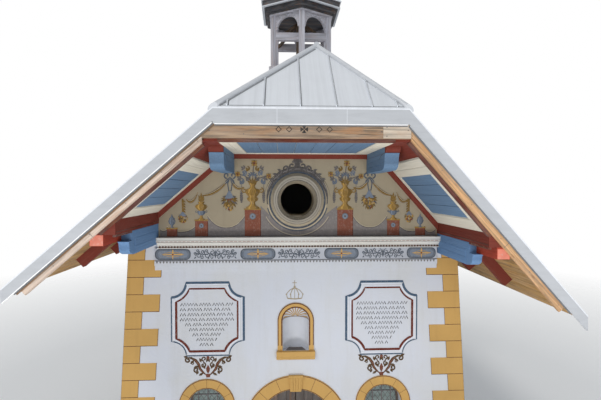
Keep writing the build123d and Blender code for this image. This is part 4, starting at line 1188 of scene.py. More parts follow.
def base_band(piece):
    """The grey scalloped field along the foot of the gable."""
    foot, count = 5.062, 18
    for u0, u1, top, low in (
        (-2.42, -2.30, 5.20, 5.16), (-2.30, -1.80, 5.24, 5.145), (-1.58, -0.917, 5.43, 5.22),
        (1.04, 1.673, 5.43, 5.215), (1.897, 2.375, 5.24, 5.14), (2.375, 2.57, 5.18, 5.12),
    ):
        edge = []
        for i in range(count + 1):
            t = 2 * i / count - 1
            edge.append((u0 + (u1 - u0) * i / count, low + (top - low) * abs(t) ** 2.4))
        piece.use("stone")
        for a, b in zip(edge, edge[1:]):
            piece.patch([(a[0], foot), (b[0], foot), b, a])
        piece.use("stone", 0.55).stroke(edge, 0.014, 2)
        piece.use("gable", 1.25).stroke([(a, b + 0.013) for a, b in edge], 0.01, 2)
    middle = oculus[0]
    for side, far in ((LEFT, -0.633), (RIGHT, 0.756)):
        outline = [(middle, foot), (middle, 5.2), (middle + side * 0.3, 5.27), (middle + side * 0.5, 5.45)]
        piece.use("stone").patch(outline + [(far, 5.62), (far, foot)])
        piece.use("gable", 1.2).stroke(arc(*oculus, 0.64, 270, side * 62, 14), 0.012, 2)
        piece.use("stone", 0.6).stroke(arc(*oculus, 0.66, 270, side * 60, 14), 0.008, 2)
    piece.use("stone", 0.5).stroke([(-2.44, foot + 0.004), (2.6, foot + 0.004)], 0.012, 3)


def pedestal(piece, u, top, half, boss=True):
    """A brick-red pedestal with a moulded edge and a round boss."""
    foot, inset = 5.07, half - 0.022
    piece.use("brick").patch([(u - half, foot), (u + half, foot), (u + half, top), (u - half, top)], 3)
    low, high = 5.09, top - 0.022
    edge = [(u - inset, low), (u + inset, low), (u + inset, high), (u - inset, high)]
    piece.use("brick", 1.3).stroke(edge, 0.008, 4, closed=True)
    piece.use("brick", 0.6).stroke([(u + half, foot), (u + half, top)], 0.012, 4)
    piece.use("gold", 1.05).stroke([(u - half - 0.012, top), (u + half + 0.012, top)], 0.026, 5)
    if boss:
        drop, r = (0.13, 0.06) if half > 0.12 else (0.1, 0.046)
        piece.use("stone", 0.7).patch(disc(u, top - drop, r, 14), 5)
        piece.use("slate", 1.15).patch(disc(u, top - drop, r * 0.8, 14), 6)
        piece.use("stone", 0.5).patch(disc(u, top - drop, r * 0.3, 10), 7)


def turned(piece, u, bottom, profile, tones):
    """A vessel painted from its half widths, with a shaded and a lit side."""
    for tone, near, far, layer in zip(tones, (1, 0.96, -0.35), (-1, 0.45, -0.62), (5, 6, 6)):
        piece.use(*tone)
        edge = [(u + r * near, bottom + z) for z, r in profile]
        piece.patch(edge + [(u + r * far, bottom + z) for z, r in reversed(profile)], layer)


def urn(piece, u, bottom):
    """A gold urn on a foot, with gadroons, handles and a flat rim."""
    turned(piece, u, bottom, (
        (0.0, 0.125), (0.03, 0.12), (0.055, 0.075), (0.09, 0.045), (0.125, 0.05), (0.15, 0.09), (0.19, 0.105),
        (0.215, 0.07), (0.25, 0.10), (0.30, 0.135), (0.345, 0.125), (0.37, 0.06), (0.41, 0.04), (0.45, 0.07),
        (0.465, 0.07),
    ), GOLD)
    piece.use(*GOLD[1])
    for k in range(-3, 4):
        piece.stroke([(u + k * 0.026, bottom + 0.155), (u + k * 0.03, bottom + 0.205)], 0.006, 7)
        piece.stroke([(u + k * 0.02, bottom + 0.25), (u + k * 0.036, bottom + 0.335)], 0.006, 7)
    piece.use("gold", 0.8)
    for side in SIDES:
        piece.stroke(curl(u + side * 0.15, bottom + 0.33, 0.05, 90, -side * 420, 18), 0.018, 7)


def small_urn(piece, u, bottom):
    """A smaller urn whose lower bowl is slate blue."""
    turned(piece, u, bottom, ((0.0, 0.07), (0.02, 0.065), (0.04, 0.03), (0.07, 0.022), (0.09, 0.03)), GOLD)
    bowl = ((0.0, 0.03), (0.03, 0.065), (0.07, 0.075), (0.085, 0.04))
    turned(piece, u, bottom + 0.085, bowl, (("slate", 0.85), ("slate", 0.5), ("slate", 1.3)))
    turned(piece, u, bottom + 0.165, (
        (0.0, 0.03), (0.03, 0.075), (0.075, 0.115), (0.11, 0.09), (0.125, 0.04), (0.155, 0.06), (0.165, 0.06),
    ), GOLD)
    piece.use("slate", 0.6)
    for side in SIDES:
        piece.stroke(curl(u + side * 0.085, bottom + 0.15, 0.022, 90, -side * 300, 12), 0.009, 7)
    piece.use("gold", 0.75)
    for angle, length in ((90, 0.17), (68, 0.13), (112, 0.13), (45, 0.08), (135, 0.08)):
        piece.patch(leaf(u, bottom + 0.33, angle, length, 0.04), 6)


def blue_urn(piece, u, bottom):
    """A slate blue urn with a pointed lid."""
    turned(piece, u, bottom, (
        (0.0, 0.035), (0.015, 0.03), (0.03, 0.014), (0.05, 0.018), (0.09, 0.055), (0.13, 0.066), (0.165, 0.045),
        (0.175, 0.055), (0.19, 0.03), (0.22, 0.012), (0.25, 0.004),
    ), (("slate", 0.8), ("slate", 0.5), ("slate", 1.3)))


def flowers(piece, u, v):
    """Three flowers and bushy curling leaves that rise from an urn."""
    tops = ((0.03, 0.36, 0.07), (-0.265, 0.165, 0.06), (0.29, 0.13, 0.06))
    piece.use("stone", 0.6)
    for x, z, r in tops:
        stem = [(u, v - 0.02), (u + x * 0.2, v + z * 0.5), (u + x * 0.6, v + z * 0.85), (u + x, v + z)]
        piece.stroke(stem, 0.016, 5)
    for side in SIDES:
        for x, z, r, spin, kind, shade in (
            (0.09, 0.09, 0.055, 1, "stone", 0.55), (0.15, 0.19, 0.055, -1, "slate", 0.85),
            (0.2, 0.03, 0.058, 1, "slate", 0.75), (0.09, 0.26, 0.045, 1, "gold", 0.6),
            (0.245, 0.1, 0.045, -1, "stone", 0.6), (0.04, 0.16, 0.035, 1, "slate", 0.7),
            (0.17, 0.28, 0.035, 1, "stone", 0.7),
        ):
            start = 90 if spin > 0 else 250
            piece.use(kind, shade).stroke(curl(u + side * x, v + z, r, start, side * spin * 350, 16), 0.019, 5)
            for lean, length in ((35, 0.075), (-25, 0.06), (100, 0.06)):
                piece.patch(leaf(u + side * (x - 0.02), v + z - 0.02, mirrored(side, lean), length, 0.028), 5)
        leaf_string(piece, u + side * 0.2, v - 0.02, 0.34, 0.036)
    piece.use("gold", 0.62)
    for angle in (30, 60, 90, 120, 150):
        piece.patch(leaf(u, v - 0.01, angle, 0.12, 0.035), 6)
    for x, z, r in tops:
        for k in range(8):
            shade, reach = (1.1, 1.0) if k % 2 else (0.62, 0.85)
            piece.use("gold", shade).patch(leaf(u + x, v + z, 45 * k, r * reach, r * 0.6), 7)
        piece.use("brick", 0.7).patch(disc(u + x, v + z, r * 0.32, 8), 8)


def leaf_string(piece, u, v, drop, half):
    """A hanging string of leaves that swells towards its foot."""
    piece.use("stone", 0.62).stroke([(u, v), (u, v - drop * 0.6)], 0.008, 5)
    count = 7
    for k in range(count):
        t = k / (count - 1)
        w = half * (0.35 + 0.65 * sin(pi * (0.15 + 0.75 * t)))
        for angle in (-120, -60, -90):
            piece.patch(leaf(u, v - drop * (0.3 + 0.6 * t), angle, w * 1.5, w * 0.7), 6)


def swags(piece, side, bow, urn_x, small_x, far):
    """Cloth swags from a bow, with bunches of fruit below it and below the outer urn."""
    u, v = bow
    for start, end, sag in (
        ((u, v - 0.02), (urn_x + side * 0.17, 5.95), 0.085),
        ((u, v - 0.02), (small_x - side * 0.02, 5.80), 0.075),
        ((small_x + side * 0.06, 5.86), (small_x + side * 0.27, 5.74), 0.1),
    ):
        line = sagging(start, end, sag, 14)
        for width, kind, shade, layer in (
            (0.062, "stone", 0.7, 4), (0.046, "gold", 1.05, 5), (0.014, "gold", 0.42, 6)
        ):
            piece.use(kind, shade).stroke(line, width, layer, taper=True)
        piece.use("gable", 1.3).stroke([(a, b + 0.014) for a, b in line], 0.008, 7, taper=True)
    piece.use("slate", 0.5)
    for lean in SIDES:
        piece.stroke(curl(u + lean * 0.055, v + 0.03, 0.055, 270, lean * 330, 14), 0.024, 6)
        piece.stroke([(u, v), (u + lean * 0.04, v - 0.12), (u + lean * 0.02, v - 0.25)], 0.018, 6)
        piece.patch(leaf(u, v, -90 + lean * 35, 0.16, 0.05), 6)
    fruit(piece, u - 0.01, v - 0.24, 0.4, 0.125)
    piece.use("gold", 0.7).stroke([(far, 5.74), (far - side * 0.005, 5.5)], 0.034, 5)
    for k in range(5):
        piece.patch(leaf(far, 5.72 - 0.045 * k, -90 - side * 50, 0.07, 0.03), 5)
    fruit(piece, far, 5.51, 0.22, 0.095)


def fruit(piece, u, v, drop, half):
    """A hanging bunch of fruit among leaves, under a blue-grey cap."""
    random.seed(int((u + 5) * 100))
    for k in range(13):
        piece.use("gold" if k % 3 else "stone", (0.5, 0.6, 0.45)[k % 3])
        t = 2 * k / 12 - 1
        piece.patch(leaf(u, v - drop * 0.34, -90 + 105 * t, drop * (0.62 - 0.3 * abs(t)), 0.05), 5)
    top, low, foot = 0.012, half * 0.7, v - drop * 0.36
    piece.use("slate").patch([(u - top, v), (u + top, v), (u + low, foot), (u - low, foot)], 5)
    tones = (("gold", 0.62), ("gold", 0.95), ("gold", 1.3), ("gable", 0.8), ("brick", 0.8))
    for k in range(28):
        t = random.random()
        spread = half * (0.2 + 0.8 * sin(pi * (0.22 + 0.72 * t))) * (1 - 0.4 * t)
        r = random.uniform(0.013, 0.022) * (half / 0.11) ** 0.5
        piece.use(*random.choice(tones))
        piece.patch(disc(u + random.uniform(-spread, spread), v - drop * (0.34 + 0.56 * t), r, 8), 6 + k % 3)


class CHAPEL_OT_gable_painting(bpy.types.Operator):
    """Paint the gable with pedestals, urns, flowers and swags"""

    bl_idname = "chapel.gable_painting"
    bl_label = "Gable painting"

    def execute(self, context):
        piece = Piece("gable_painting", "plaster")
        base_band(piece)
        for u in (-0.775, 0.898):
            pedestal(piece, u, 5.555, 0.142)
            urn(piece, u, 5.56)
            flowers(piece, u, 6.02)
        for u in (-1.69, 1.785):
            pedestal(piece, u, 5.36, 0.112)
            small_urn(piece, u, 5.36)
        for u in (-2.21, 2.285):
            pedestal(piece, u, 5.215, 0.09, False)
            blue_urn(piece, u, 5.215)
        swags(piece, LEFT, (-1.18, 6.13), -0.775, -1.69, -2.02)
        swags(piece, RIGHT, (1.35, 6.14), 0.898, 1.785, 2.075)
        piece.make()
        return {"FINISHED"}


# Boarded overhang


def level_boards():
    """Blue boards across the level panel."""
    count, (inner, outer) = sizes().soffit_boards, level_panel_x
    piece = Piece("soffit_boards_level", "blue_boards", on_level(soffit_z + 0.014, -1)).use("blue", "along")
    width = (outer - inner) / count
    for i in range(count):
        u = inner + i * width
        piece.box((u + 0.003, u + width - 0.003), (-5.752, -4.188), (0.0, 0.011))
    piece.make(0.0025)


def level_margins():
    """Cream boards beside the level panel and behind it."""
    piece = Piece("soffit_margins_level", "cream_boards", on_level(soffit_z, -1)).use("cream", "along")
    for u in ((-1.098, -0.985), (-0.981, -0.867), (1.057, 1.172), (1.176, 1.288)):
        piece.box(u, (-5.75, -4.06), (0.0, 0.005))
    piece.box(level_panel_x, (-4.18, -4.06), (0.0, 0.005))
    piece.make(0.0015)


def sloping_soffit(side):
    """Blue boards in a sloping panel, and cream boards round it a few millimetres below the CAD face."""
    count, depth = 4, soffit_under - 0.014
    piece = Piece(f"soffit_boards_{NAME[side]}", "blue_boards", on_slope(side, depth)).use("blue", "along")
    first, last = [slope_run(side, x, depth) for x in panel_x[side]]
    width = (last - first) / count
    for i in range(count):
        u = first + i * width
        piece.box((u + 0.004, u + width - 0.002), (-5.606, -4.189), (-0.011, 0.0))
    piece.make(0.0025)
    place = on_slope(side, soffit_under)
    piece = Piece(f"soffit_margins_{NAME[side]}", "cream_boards", place).use("cream", "along")
    first = slope_run(side, casing_outer[side], soffit_under) + 0.004
    last = slope_run(side, soffit_outer[side], soffit_under) - 0.002
    hole = [slope_run(side, x, soffit_under) for x in panel_x[side]]
    middle, whole = (first + hole[0]) / 2, (-5.85, -4.06)
    for u, v in (
        ((first, middle - 0.003), whole),
        ((middle + 0.001, hole[0] - 0.004), whole),
        ((hole[1] + 0.004, last), whole),
        (hole, (-5.85, -5.735)),
        (hole, (-5.731, -5.614)),
        (hole, (-4.181, -4.06)),
    ):
        piece.box(u, v, (-0.005, 0.0))
    piece.make(0.0015)


class CHAPEL_OT_soffits(bpy.types.Operator):
    """Board the level soffit and the two sloping ones"""

    bl_idname = "chapel.soffits"
    bl_label = "Soffits"

    def execute(self, context):
        dress("soffit_flat soffit_left soffit_right", "cream", "along")
        level_boards()
        for side in SIDES:
            sloping_soffit(side)
        level_margins()
        return {"FINISHED"}


def teeth():
    """A row of small teeth along the lower edge of each band, and a thin line above it, painted dark red as their
    shade.
    """
    piece = Piece("band_teeth", "red_timber").use("dark_red", "along")
    for side in SIDES:
        piece.on(on_level(band_bottom[side]))
        u0 = soffit_outer[side]
        u1 = u0 + side * 0.04
        y = -5.85
        while y < -5.28:
            piece.box((min(u0, u1) - 0.003, max(u0, u1) + 0.001), (y, y + 0.034), (-0.03, 0.002))
            y += 0.06
        piece.box((u0 - side * 0.004, u0 + side * 0.001), (-5.85, -4.02), (0.03, 0.042))
    piece.make()


def console_boards():
    """Boards along the cheeks of the consoles, and a painted bow on the upper ones."""
    piece = Piece("console_boards", "blue_boards").use("console", "along")
    proud = (0.0, 0.004)
    for side, inner in ((LEFT, -2.45), (RIGHT, 2.61)):
        low, high = {LEFT: (4.946, 5.306), RIGHT: (4.745, 5.105)}[side]
        cuts = [low + 0.004, low + 0.115, low + 0.238, high - 0.003]
        for z0, z1 in zip(cuts, cuts[1:]):
            upper = z0 > low + 0.2
            rows = (z0 + 0.002, z1 - 0.002)
            start = -5.265 if upper else -5.15
            piece.on(cheek(inner, -side)).box((start, -4.16), rows, proud)
            if not upper:
                piece.on(cheek(inner + side * 0.15, side)).box((start, -4.02), rows, proud)
    for side in SIDES:
        piece.use("blue", "along")
        low, high, inner = 6.2, 6.45, purlin_x[side]
        for z0, z1 in ((low + 0.004, 6.285), (6.289, 6.37), (6.374, high - 0.004)):
            for x, out in ((inner, -side), (inner + side * 0.215, side)):
                piece.on(cheek(x, out)).box((-5.08 if z0 < 6.3 else -5.26, -4.062), (z0, z1), proud)
        piece.on(cheek(inner, -side), 0.005).box((-5.3, -4.062), (high + 0.002, 6.541), proud)
        bow = [(-5.26 + 0.28 * k / 12, 6.452 - 0.07 * (k / 12) ** 2) for k in range(13)]
        piece.use("deep_blue", "along").stroke(bow, 0.014, 0)
    piece.make(0.0015)


def plate_ends():
    """Pale, checked end grain on the wall plates: partly faded wood, partly painted sunlight."""
    piece = Piece("plate_ends", "red_timber", upright(-5.86)).use("faded_plate_end")
    for u, top in plate_end.values():
        piece.box((u - 0.086, u + 0.086), (top - 0.186, top - 0.046), (0.0, 0.0015))
    piece.make()


class CHAPEL_OT_brackets(bpy.types.Operator):
    """Finish the plates, purlins, bands and consoles of the overhang"""

    bl_idname = "chapel.brackets"
    bl_label = "Plates and consoles"

    def execute(self, context):
        dress("upper_purlins rake_mouldings", "red", "along")
        # The wall plates take the lighter red, painted sunlight.
        dress("wall_plate_left wall_plate_right", "plate", "along")
        dress("upper_consoles", "blue", "along")
        dress("lower_console_left lower_console_right", "console", "along")
        teeth()
        console_boards()
        plate_ends()
        return {"FINISHED"}


def splice():
    """The lighter piece let into the right end of the front beam, and the beam's nails."""
    piece = Piece("beam_splice", "weathered_timber", on_beam).use("splice", "across")
    piece.box((1.112, 1.49), (beam_bottom + 0.004, beam_top - 0.002), (0.0, 0.004))
    piece.use("iron")
    for u, v in ((1.16, 6.74), (1.16, 6.62), (1.45, 6.70), (1.09, 6.68), (-1.2, 6.68), (-0.75, 6.64)):
        piece.stud(u, v, ((0.008, 0.003), (0.006, 0.008)))
    piece.make(0.001)


def carving():
    """A cut cross between lozenges in the middle of the front beam."""
    piece = Piece("beam_carving", "weathered_timber", on_beam, 0.0015).use("door", 0.35)
    u, v = 0.05, 6.705
    arm = ((0.008, -0.006), (0.05, -0.03), (0.05, 0.03), (0.008, 0.006))
    for k in range(4):
        a = radians(90 * k)
        piece.patch([(u + x * cos(a) - y * sin(a), v + x * sin(a) + y * cos(a)) for x, y in arm], 0)
    for offset in (-0.34, -0.2, 0.2, 0.34):
        piece.stroke(disc(u + offset, v, 0.036, 4), 0.012, 0, closed=True)
    piece.make()


def red_strips():
    """Dark red trims under the barge boards and the tie beams."""
    piece = Piece("barge_trims", "red_timber")
    depth = 0.262
    for side in SIDES:
        piece.on(on_slope(side, depth)).use("dark_red", NAME[side])
        run = [slope_run(side, x, depth) for x in (beam_end[side], {LEFT: -2.66, RIGHT: 2.64}[side])]
        for y in ((-5.866, -5.80), (4.47, 4.536)):
            piece.box(run, y, (-0.042, 0.004))
        inner, low = soffit_outer[side], band_bottom[side]
        tip = ridge_x + side * ((ridge_z - low - depth / cos(pitch[side])) / tan(pitch[side]))
        piece.on(upright(-5.852)).use("red", "across")
        piece.prism([(inner, low), (tip, low), (inner, slope_z(side, inner, depth))], 0.0, 0.010)
    piece.on(on_level(beam_bottom, -1)).use("dark_red", "across")
    piece.box((purlin_x[LEFT], purlin_x[RIGHT]), (-5.868, -5.792), (0.0, 0.044))
    piece.make(0.002)


def barge_nails():
    """Butt joints and nails of the barge boards."""
    piece = Piece("barge_nails", "iron").use("iron")
    for side in SIDES:
        piece.on(on_verge(side, beam_y), 0.001)
        start, end = slope_run(side, beam_end[side]), slope_run(side, barge_foot_x[side], 0.2)
        u = start + 0.25
        while u < end - 0.1:
            for depth in (0.11, 0.21):
                piece.stud(u, depth, ((0.006, 0.0), (0.005, 0.004)), 6)
            u += 0.62
        joint = start + (end - start) * 0.62
        piece.stroke([(joint, 0.06), (joint + 0.005, 0.26)], 0.005, 0)
    piece.make()


class CHAPEL_OT_gable_timber(bpy.types.Operator):
    """Finish the tie beams and barge boards"""

    bl_idname = "chapel.gable_timber"
    bl_label = "Tie beams and barge boards"

    def execute(self, context):
        dress("tie_beams", "beam", "across")
        # The left barge board takes the paler timber, painted sunlight.
        dress("barge_board_left", "pale_barge", "left")
        dress("barge_board_right", "barge", "right")
        splice()
        carving()
        red_strips()
        barge_nails()
        return {"FINISHED"}


def hip_limit(side, u, end, inside):
    """How far a board at a distance down the slope runs towards one end."""
    hip = apex[end] + end * (u * sin(pitch[side]) / tan(hip_pitch) - 0.06)
    return end * min(end * hip, end * inside)


class CHAPEL_OT_eaves(bpy.types.Operator):
    """Finish the rafters and lay the boards above them"""

    bl_idname = "chapel.eaves"
    bl_label = "Rafters and roof boards"

    def execute(self, context):
        dress("roof_deck_left roof_deck_right roof_deck_hips", "sarking", "along")
        width, depth = sizes().sarking_board, metal + deck
        for side in SIDES:
            dress(f"rafters_{NAME[side]}", "red", NAME[side])
            piece = Piece(f"roof_boards_{NAME[side]}", "boarding", on_slope(side, depth)).use("sarking", "along")
            u, end = 0.3, slope_run(side, eave_x[side], depth)
            while u < end - 0.02:
                last = min(u + width, end - 0.006)
                y0, y1 = hip_limit(side, u, FRONT, -5.80), hip_limit(side, u, REAR, 4.50)
                if y1 - y0 > 0.3:
                    piece.box((u + 0.003, last - 0.003), (y0, y1), (-0.008, 0.0))
                u += width
            piece.make(0.002)
        return {"FINISHED"}


# Roof metal


def seam(piece, start, end, across, down_u):
    """A folded rib down a slope, along u or along v, with its fold to one side."""
    height, half = sizes().seam_height, 0.007
    for low, high, foot in ((half, half, 0.0), (half * 0.2, half * 1.7, height * 0.72)):
        span = (across - low, across + high)
        ranges = ((start, end), span) if down_u else (span, (start, end))
        piece.box(*ranges, (foot, height))


def slope_seams(side):
    """Seams from the ridge or a hip down to the eave, with welts across the bays."""
    random.seed(11 + side)
    piece = Piece(f"roof_seams_{NAME[side]}", "sheet_metal", on_slope(side)).use("sheet_slope")
    spacing, end = sizes().seam_spacing, slope_run(side, eave_x[side])
    y = verge[FRONT] + 0.12
    while y < verge[REAR] - 0.05:
        start = 0.05
        for limit in ENDS:
            beyond = limit * (y - apex[limit])
            if beyond > 0:
                start = beyond * tan(hip_pitch) / sin(pitch[side]) + 0.07
        if abs(y - belfry_y) < 0.72:
            start = max(start, 0.95 if side == LEFT else 0.75)
        seam(piece, start, end - 0.032, y, True)
        cross = start + random.uniform(0.7, 1.6)
        while cross < end - 0.4 and y + spacing < verge[REAR]:
            piece.box((cross, cross + 0.022), (y + 0.008, y + spacing - 0.008), (0.0, 0.0035))
            cross += 1.9
        y += spacing
    piece.make()


def hip_seams(end):
    """Seams that climb a hip from its eave, each with a dark line of painted shade beside it."""
    name = "front" if end == FRONT else "rear"
    piece = Piece(f"hip_seams_{name}", "sheet_metal", on_hip(end), 0.002).use("sheet_hip")
    foot = (ridge_z - hip_eave_z) / sin(hip_pitch)
    for x in (-0.97, -0.49, 0.0, 0.48, 0.96, 1.3):
        side = LEFT if x < ridge_x else RIGHT
        start = abs(x - ridge_x) * tan(pitch[side]) / sin(hip_pitch) + 0.07
        if start < foot - 0.15:
            piece.use("sheet_hip")
            seam(piece, start, foot - 0.028, x, False)
            # A dark line of painted shade beside each seam.
            piece.use("sheet_fold").stroke([(x + 0.018, start), (x + 0.018, foot - 0.03)], 0.012, 0)
    piece.make()


def drips():
    """A drip bead along the foot of each fascia, painted lighter as a highlight on the level fascias and the left
    slope, over a near black strip of painted shadow in the gap above the timber, with a band of painted shade on
    the left barge board.
    """
    piece = Piece("fascia_drips", "sheet_metal")
    corner = {s: ridge_x + s * (ridge_z - hip_eave_z) / tan(pitch[s]) for s in SIDES}
    bottom, bead, gap = hip_eave_z - 0.215, (0.0, 0.018), (0.012, 0.0245)
    across = (corner[LEFT] + 0.02, corner[RIGHT] - 0.02)
    for end, y in verge.items():
        piece.on(upright(y, -end))
        # The bead is painted lighter as a highlight, the strip under it near black as shadow.
        piece.use("sheet_bead").box(across, (bottom - 0.012, bottom), bead)
        piece.use("sheet_fold").box(across, (bottom - 0.028, bottom - 0.012), gap)
        for side in SIDES:
            piece.on(on_verge(side, y, -end))
            first = slope_run(side, corner[side], 0.14) + 0.02
            last = slope_run(side, eave_x[side], 0.14) - 0.012
            foot = slope_run(side, barge_foot_x[side], 0.16)
            # Only the left slope's bead gets the painted highlight; the right one takes the darker fascia metal,
            # painted shade.
            piece.use("sheet_bead" if side == LEFT else "sheet_edge").box((first, last), (0.14, 0.153), bead)
            piece.use("sheet_fold").box((first, foot), (0.153, 0.172), gap)
            if side == LEFT:
                # Painted shade along the top of the left barge board.
                piece.use("shade", "left").box((first, foot - 0.02), (0.172, 0.194), (0.018, 0.0248))
    piece.make(0.002)


def hip_shadows():
    """Painted shade where the hips meet the slopes, on the inner side of each roll: a broad band on the left, a
    fine line on the right and one across each hip's foot.
    """
    piece = Piece("hip_folds", "sheet_metal").use("sheet_fold")
    drop = ridge_z - hip_eave_z
    for end in ENDS:
        piece.on(on_hip(end), 0.002)
        for side, inset, width, kind in ((LEFT, 0.06, 0.05, "sheet_shade"), (RIGHT, 0.035, 0.014, "sheet_fold")):
            falls = (drop * 0.06, drop * 0.985)
            line = [(ridge_x + side * (h / tan(pitch[side]) - inset), h / sin(hip_pitch)) for h in falls]
            piece.use(kind).stroke(line, width, 0)
        foot = drop / sin(hip_pitch) - 0.035
        line = [(ridge_x + side * (drop / tan(pitch[side]) - 0.03), foot) for side in SIDES]
        piece.use("sheet_fold").stroke(line, 0.009, 0)
    piece.make()


def roll_clips():
    """Straps over the ridge roll."""
    piece = Piece("ridge_clips", "sheet_metal").use("sheet_roll")
    for y in (-4.2, -1.6, -0.6, 0.4, 1.4, 2.4):
        strap = arc(0, 0, 0.0505, -20, 220, 14)
        rows = [[Vector((ridge_x + a, y + w, ridge_z + b)) for a, b in strap] for w in (-0.014, 0.014)]
        piece.loft(rows, closed=False, capped=False)
    piece.make(smooth=True)


class CHAPEL_OT_roof(bpy.types.Operator):
    """Fold the seams, edges and drips of the roof metal, with painted highlights and painted shade along them"""

    bl_idname = "chapel.roof"
    bl_label = "Roof metal"

    def execute(self, context):
        dress("roof_metal_left roof_metal_right", "sheet_slope")
        dress("roof_metal_hips", "sheet_hip")
        # The fascias take the darker copy of the roof metal, painted shade.
        dress("verge_fascias", "sheet_edge")
        dress("ridge_cap", "sheet_roll")
        for side in SIDES:
            slope_seams(side)
        for end in ENDS:
            hip_seams(end)
        drips()
        hip_shadows()
        roll_clips()
        return {"FINISHED"}


# Belfry


def hexagon(radius, z):
    """Corners of a hexagon about the belfry's axis, one to the front."""
    angles = [radians(-90 + 60 * k) for k in range(6)]
    return [Vector((belfry_x + radius * cos(a), belfry_y + radius * sin(a), z)) for a in angles]


def square_to(start, end, wide, deep):
    """Two offsets square to a run and to each other: across it, and out of the roof."""
    run = (end - start).normalized()
    across = run.cross(Vector((0, 0, 1))).normalized() * wide
    return across, across.cross(run).normalized() * deep


def curb_boards():
    """Upright boards round the curb, cut off along the roof."""
    piece = Piece("belfry_curb_boards", "grey_timber").use("grey", "upright")
    top, base, count = belfry_base_top - 0.03, 7.4, 6
    corner, axis = hexagon(0.741, base), Vector((belfry_x, belfry_y, base))
    for k in range(6):
        a, b = corner[k], corner[(k + 1) % 6]
        out = ((a + b) / 2 - axis).normalized()
        for i in range(count):
            t0, t1 = i / count + 0.006, (i + 1) / count - 0.006
            middle = a.lerp(b, (t0 + t1) / 2).x
            foot = slope_z(LEFT if middle < ridge_x else RIGHT, middle) + 0.02
            if foot > belfry_base_top - 0.06:
                continue
            board = [a.lerp(b, t) for t in (t0, t1, t1, t0)]
            for point, z in zip(board, (foot, foot, top, top)):
                point.z = z
            piece.loft([board, [p + out * 0.01 for p in board]])
    piece.make(0.002)


def mouldings():
    """A rail on the curb and mouldings on the beams, arches and eaves; the eave mouldings are painted near black as
    shade.
    """
    piece = Piece("belfry_mouldings", "grey_timber")
    rail, dark = ("grey", "across"), ("dark_grey", "across")
    for radius, z0, z1, deep, finish in (
        (0.752, belfry_base_top - 0.035, belfry_base_top + 0.012, 0.06, rail),
        (0.735, 9.400, 9.424, 0.06, rail),
        (0.812, 9.462, 9.482, 0.05, dark),
        (0.905, 9.540, 9.566, 0.05, ("sheet_roll",)),
        (0.902, 9.645, 9.668, 0.05, dark),
    ):
        inner = radius - deep
        rows = [hexagon(r, z) for r, z in ((inner, z0), (radius, z0), (radius, z1), (inner, z1))]
        piece.use(*finish).loft(rows + rows[:1], capped=False)
    piece.make(0.003)


def spire_seams():
    """Rolls on the six hips of the spire, a seam on each face of its foot, and its folded bands."""
    piece = Piece("spire_seams", "sheet_metal").use("sheet_hip")
    sections = ((0.925, 9.666), (0.56, 9.996), (0.33, 10.466), (0.06, 11.226))
    for (r0, z0), (r1, z1) in zip(sections, sections[1:]):
        low, high = hexagon(r0 - 0.004, z0), hexagon(r1 - 0.004, z1)
        for foot, top in zip(low, high):
            across, out = square_to(foot, top, 0.014, 0.014)
            piece.loft([[p + across, p + out * 1.3, p - across, p - out] for p in (foot, top)])
        if r0 > 0.4:
            for k in range(6):
                foot, top = [(ring[k] + ring[(k + 1) % 6]) / 2 for ring in (low, high)]
                across, out = square_to(foot, top, 0.007, 0.02)
                piece.loft([[p + across, p + across + out, p - across + out, p - across] for p in (foot, top)])
    for r, z in ((0.565, 9.99), (0.335, 10.46)):
        piece.loft([hexagon(r, z - 0.012), hexagon(r + 0.006, z), hexagon(r, z + 0.012)], capped=False)
    piece.make(0.001)


def braces():
    """Inner braces and the post that they spring from."""
    piece = Piece("belfry_braces", "grey_timber").use("brace", "upright")
    for inner, outer in zip(hexagon(0.1, 9.36), hexagon(0.56, 8.98)):
        across, up = square_to(inner, outer, 0.025, 0.025)
        piece.loft([[p + across + up, p - across + up, p - across - up, p + across - up] for p in (inner, outer)])
    piece.loft([[Vector((belfry_x + a, belfry_y + b, z)) for a, b in disc(0, 0, 0.09, 8)] for z in (8.4, 9.40)])
    piece.make(0.003)


class CHAPEL_OT_belfry(bpy.types.Operator):
    """Board the belfry and finish its roof, ball and cross"""

    bl_idname = "chapel.belfry"
    bl_label = "Belfry"

    def execute(self, context):
        dress("belfry_base belfry_posts", "grey", "upright")
        dress("belfry_beams belfry_arches", "grey", "across")
        # The eaves take the near black grey, painted shade.
        dress("belfry_eaves", "dark_grey", "across")
        dress("belfry_roof", "sheet_hip")
        dress("finial cross", "gilt")
        curb_boards()
        mouldings()
        spire_seams()
        braces()
        return {"FINISHED"}


# Stage


def floor_finish():
    """A pale matt floor that carries the shadow and fades into the background."""
    f = Finish("stage_floor", 0.9)
    base = f.mix(f.fit(f.noise(3, 2.0), 0.0, 1.0), (0.86, 0.86, 0.86), (0.88, 0.88, 0.88))
    far = f.node("ShaderNodeVectorMath", {0: f.place}, operation="LENGTH").outputs["Value"]
    clear = f.node("ShaderNodeBsdfTransparent").outputs[0]
    inputs = {0: f.fit(far, 9.0, 26.0), 1: f.shader.outputs[0], 2: clear}
    blend = f.node("ShaderNodeMixShader", inputs).outputs[0]
    f.tree.links.new(blend, f.tree.nodes["Material Output"].inputs["Surface"])
    return f.finish(base)


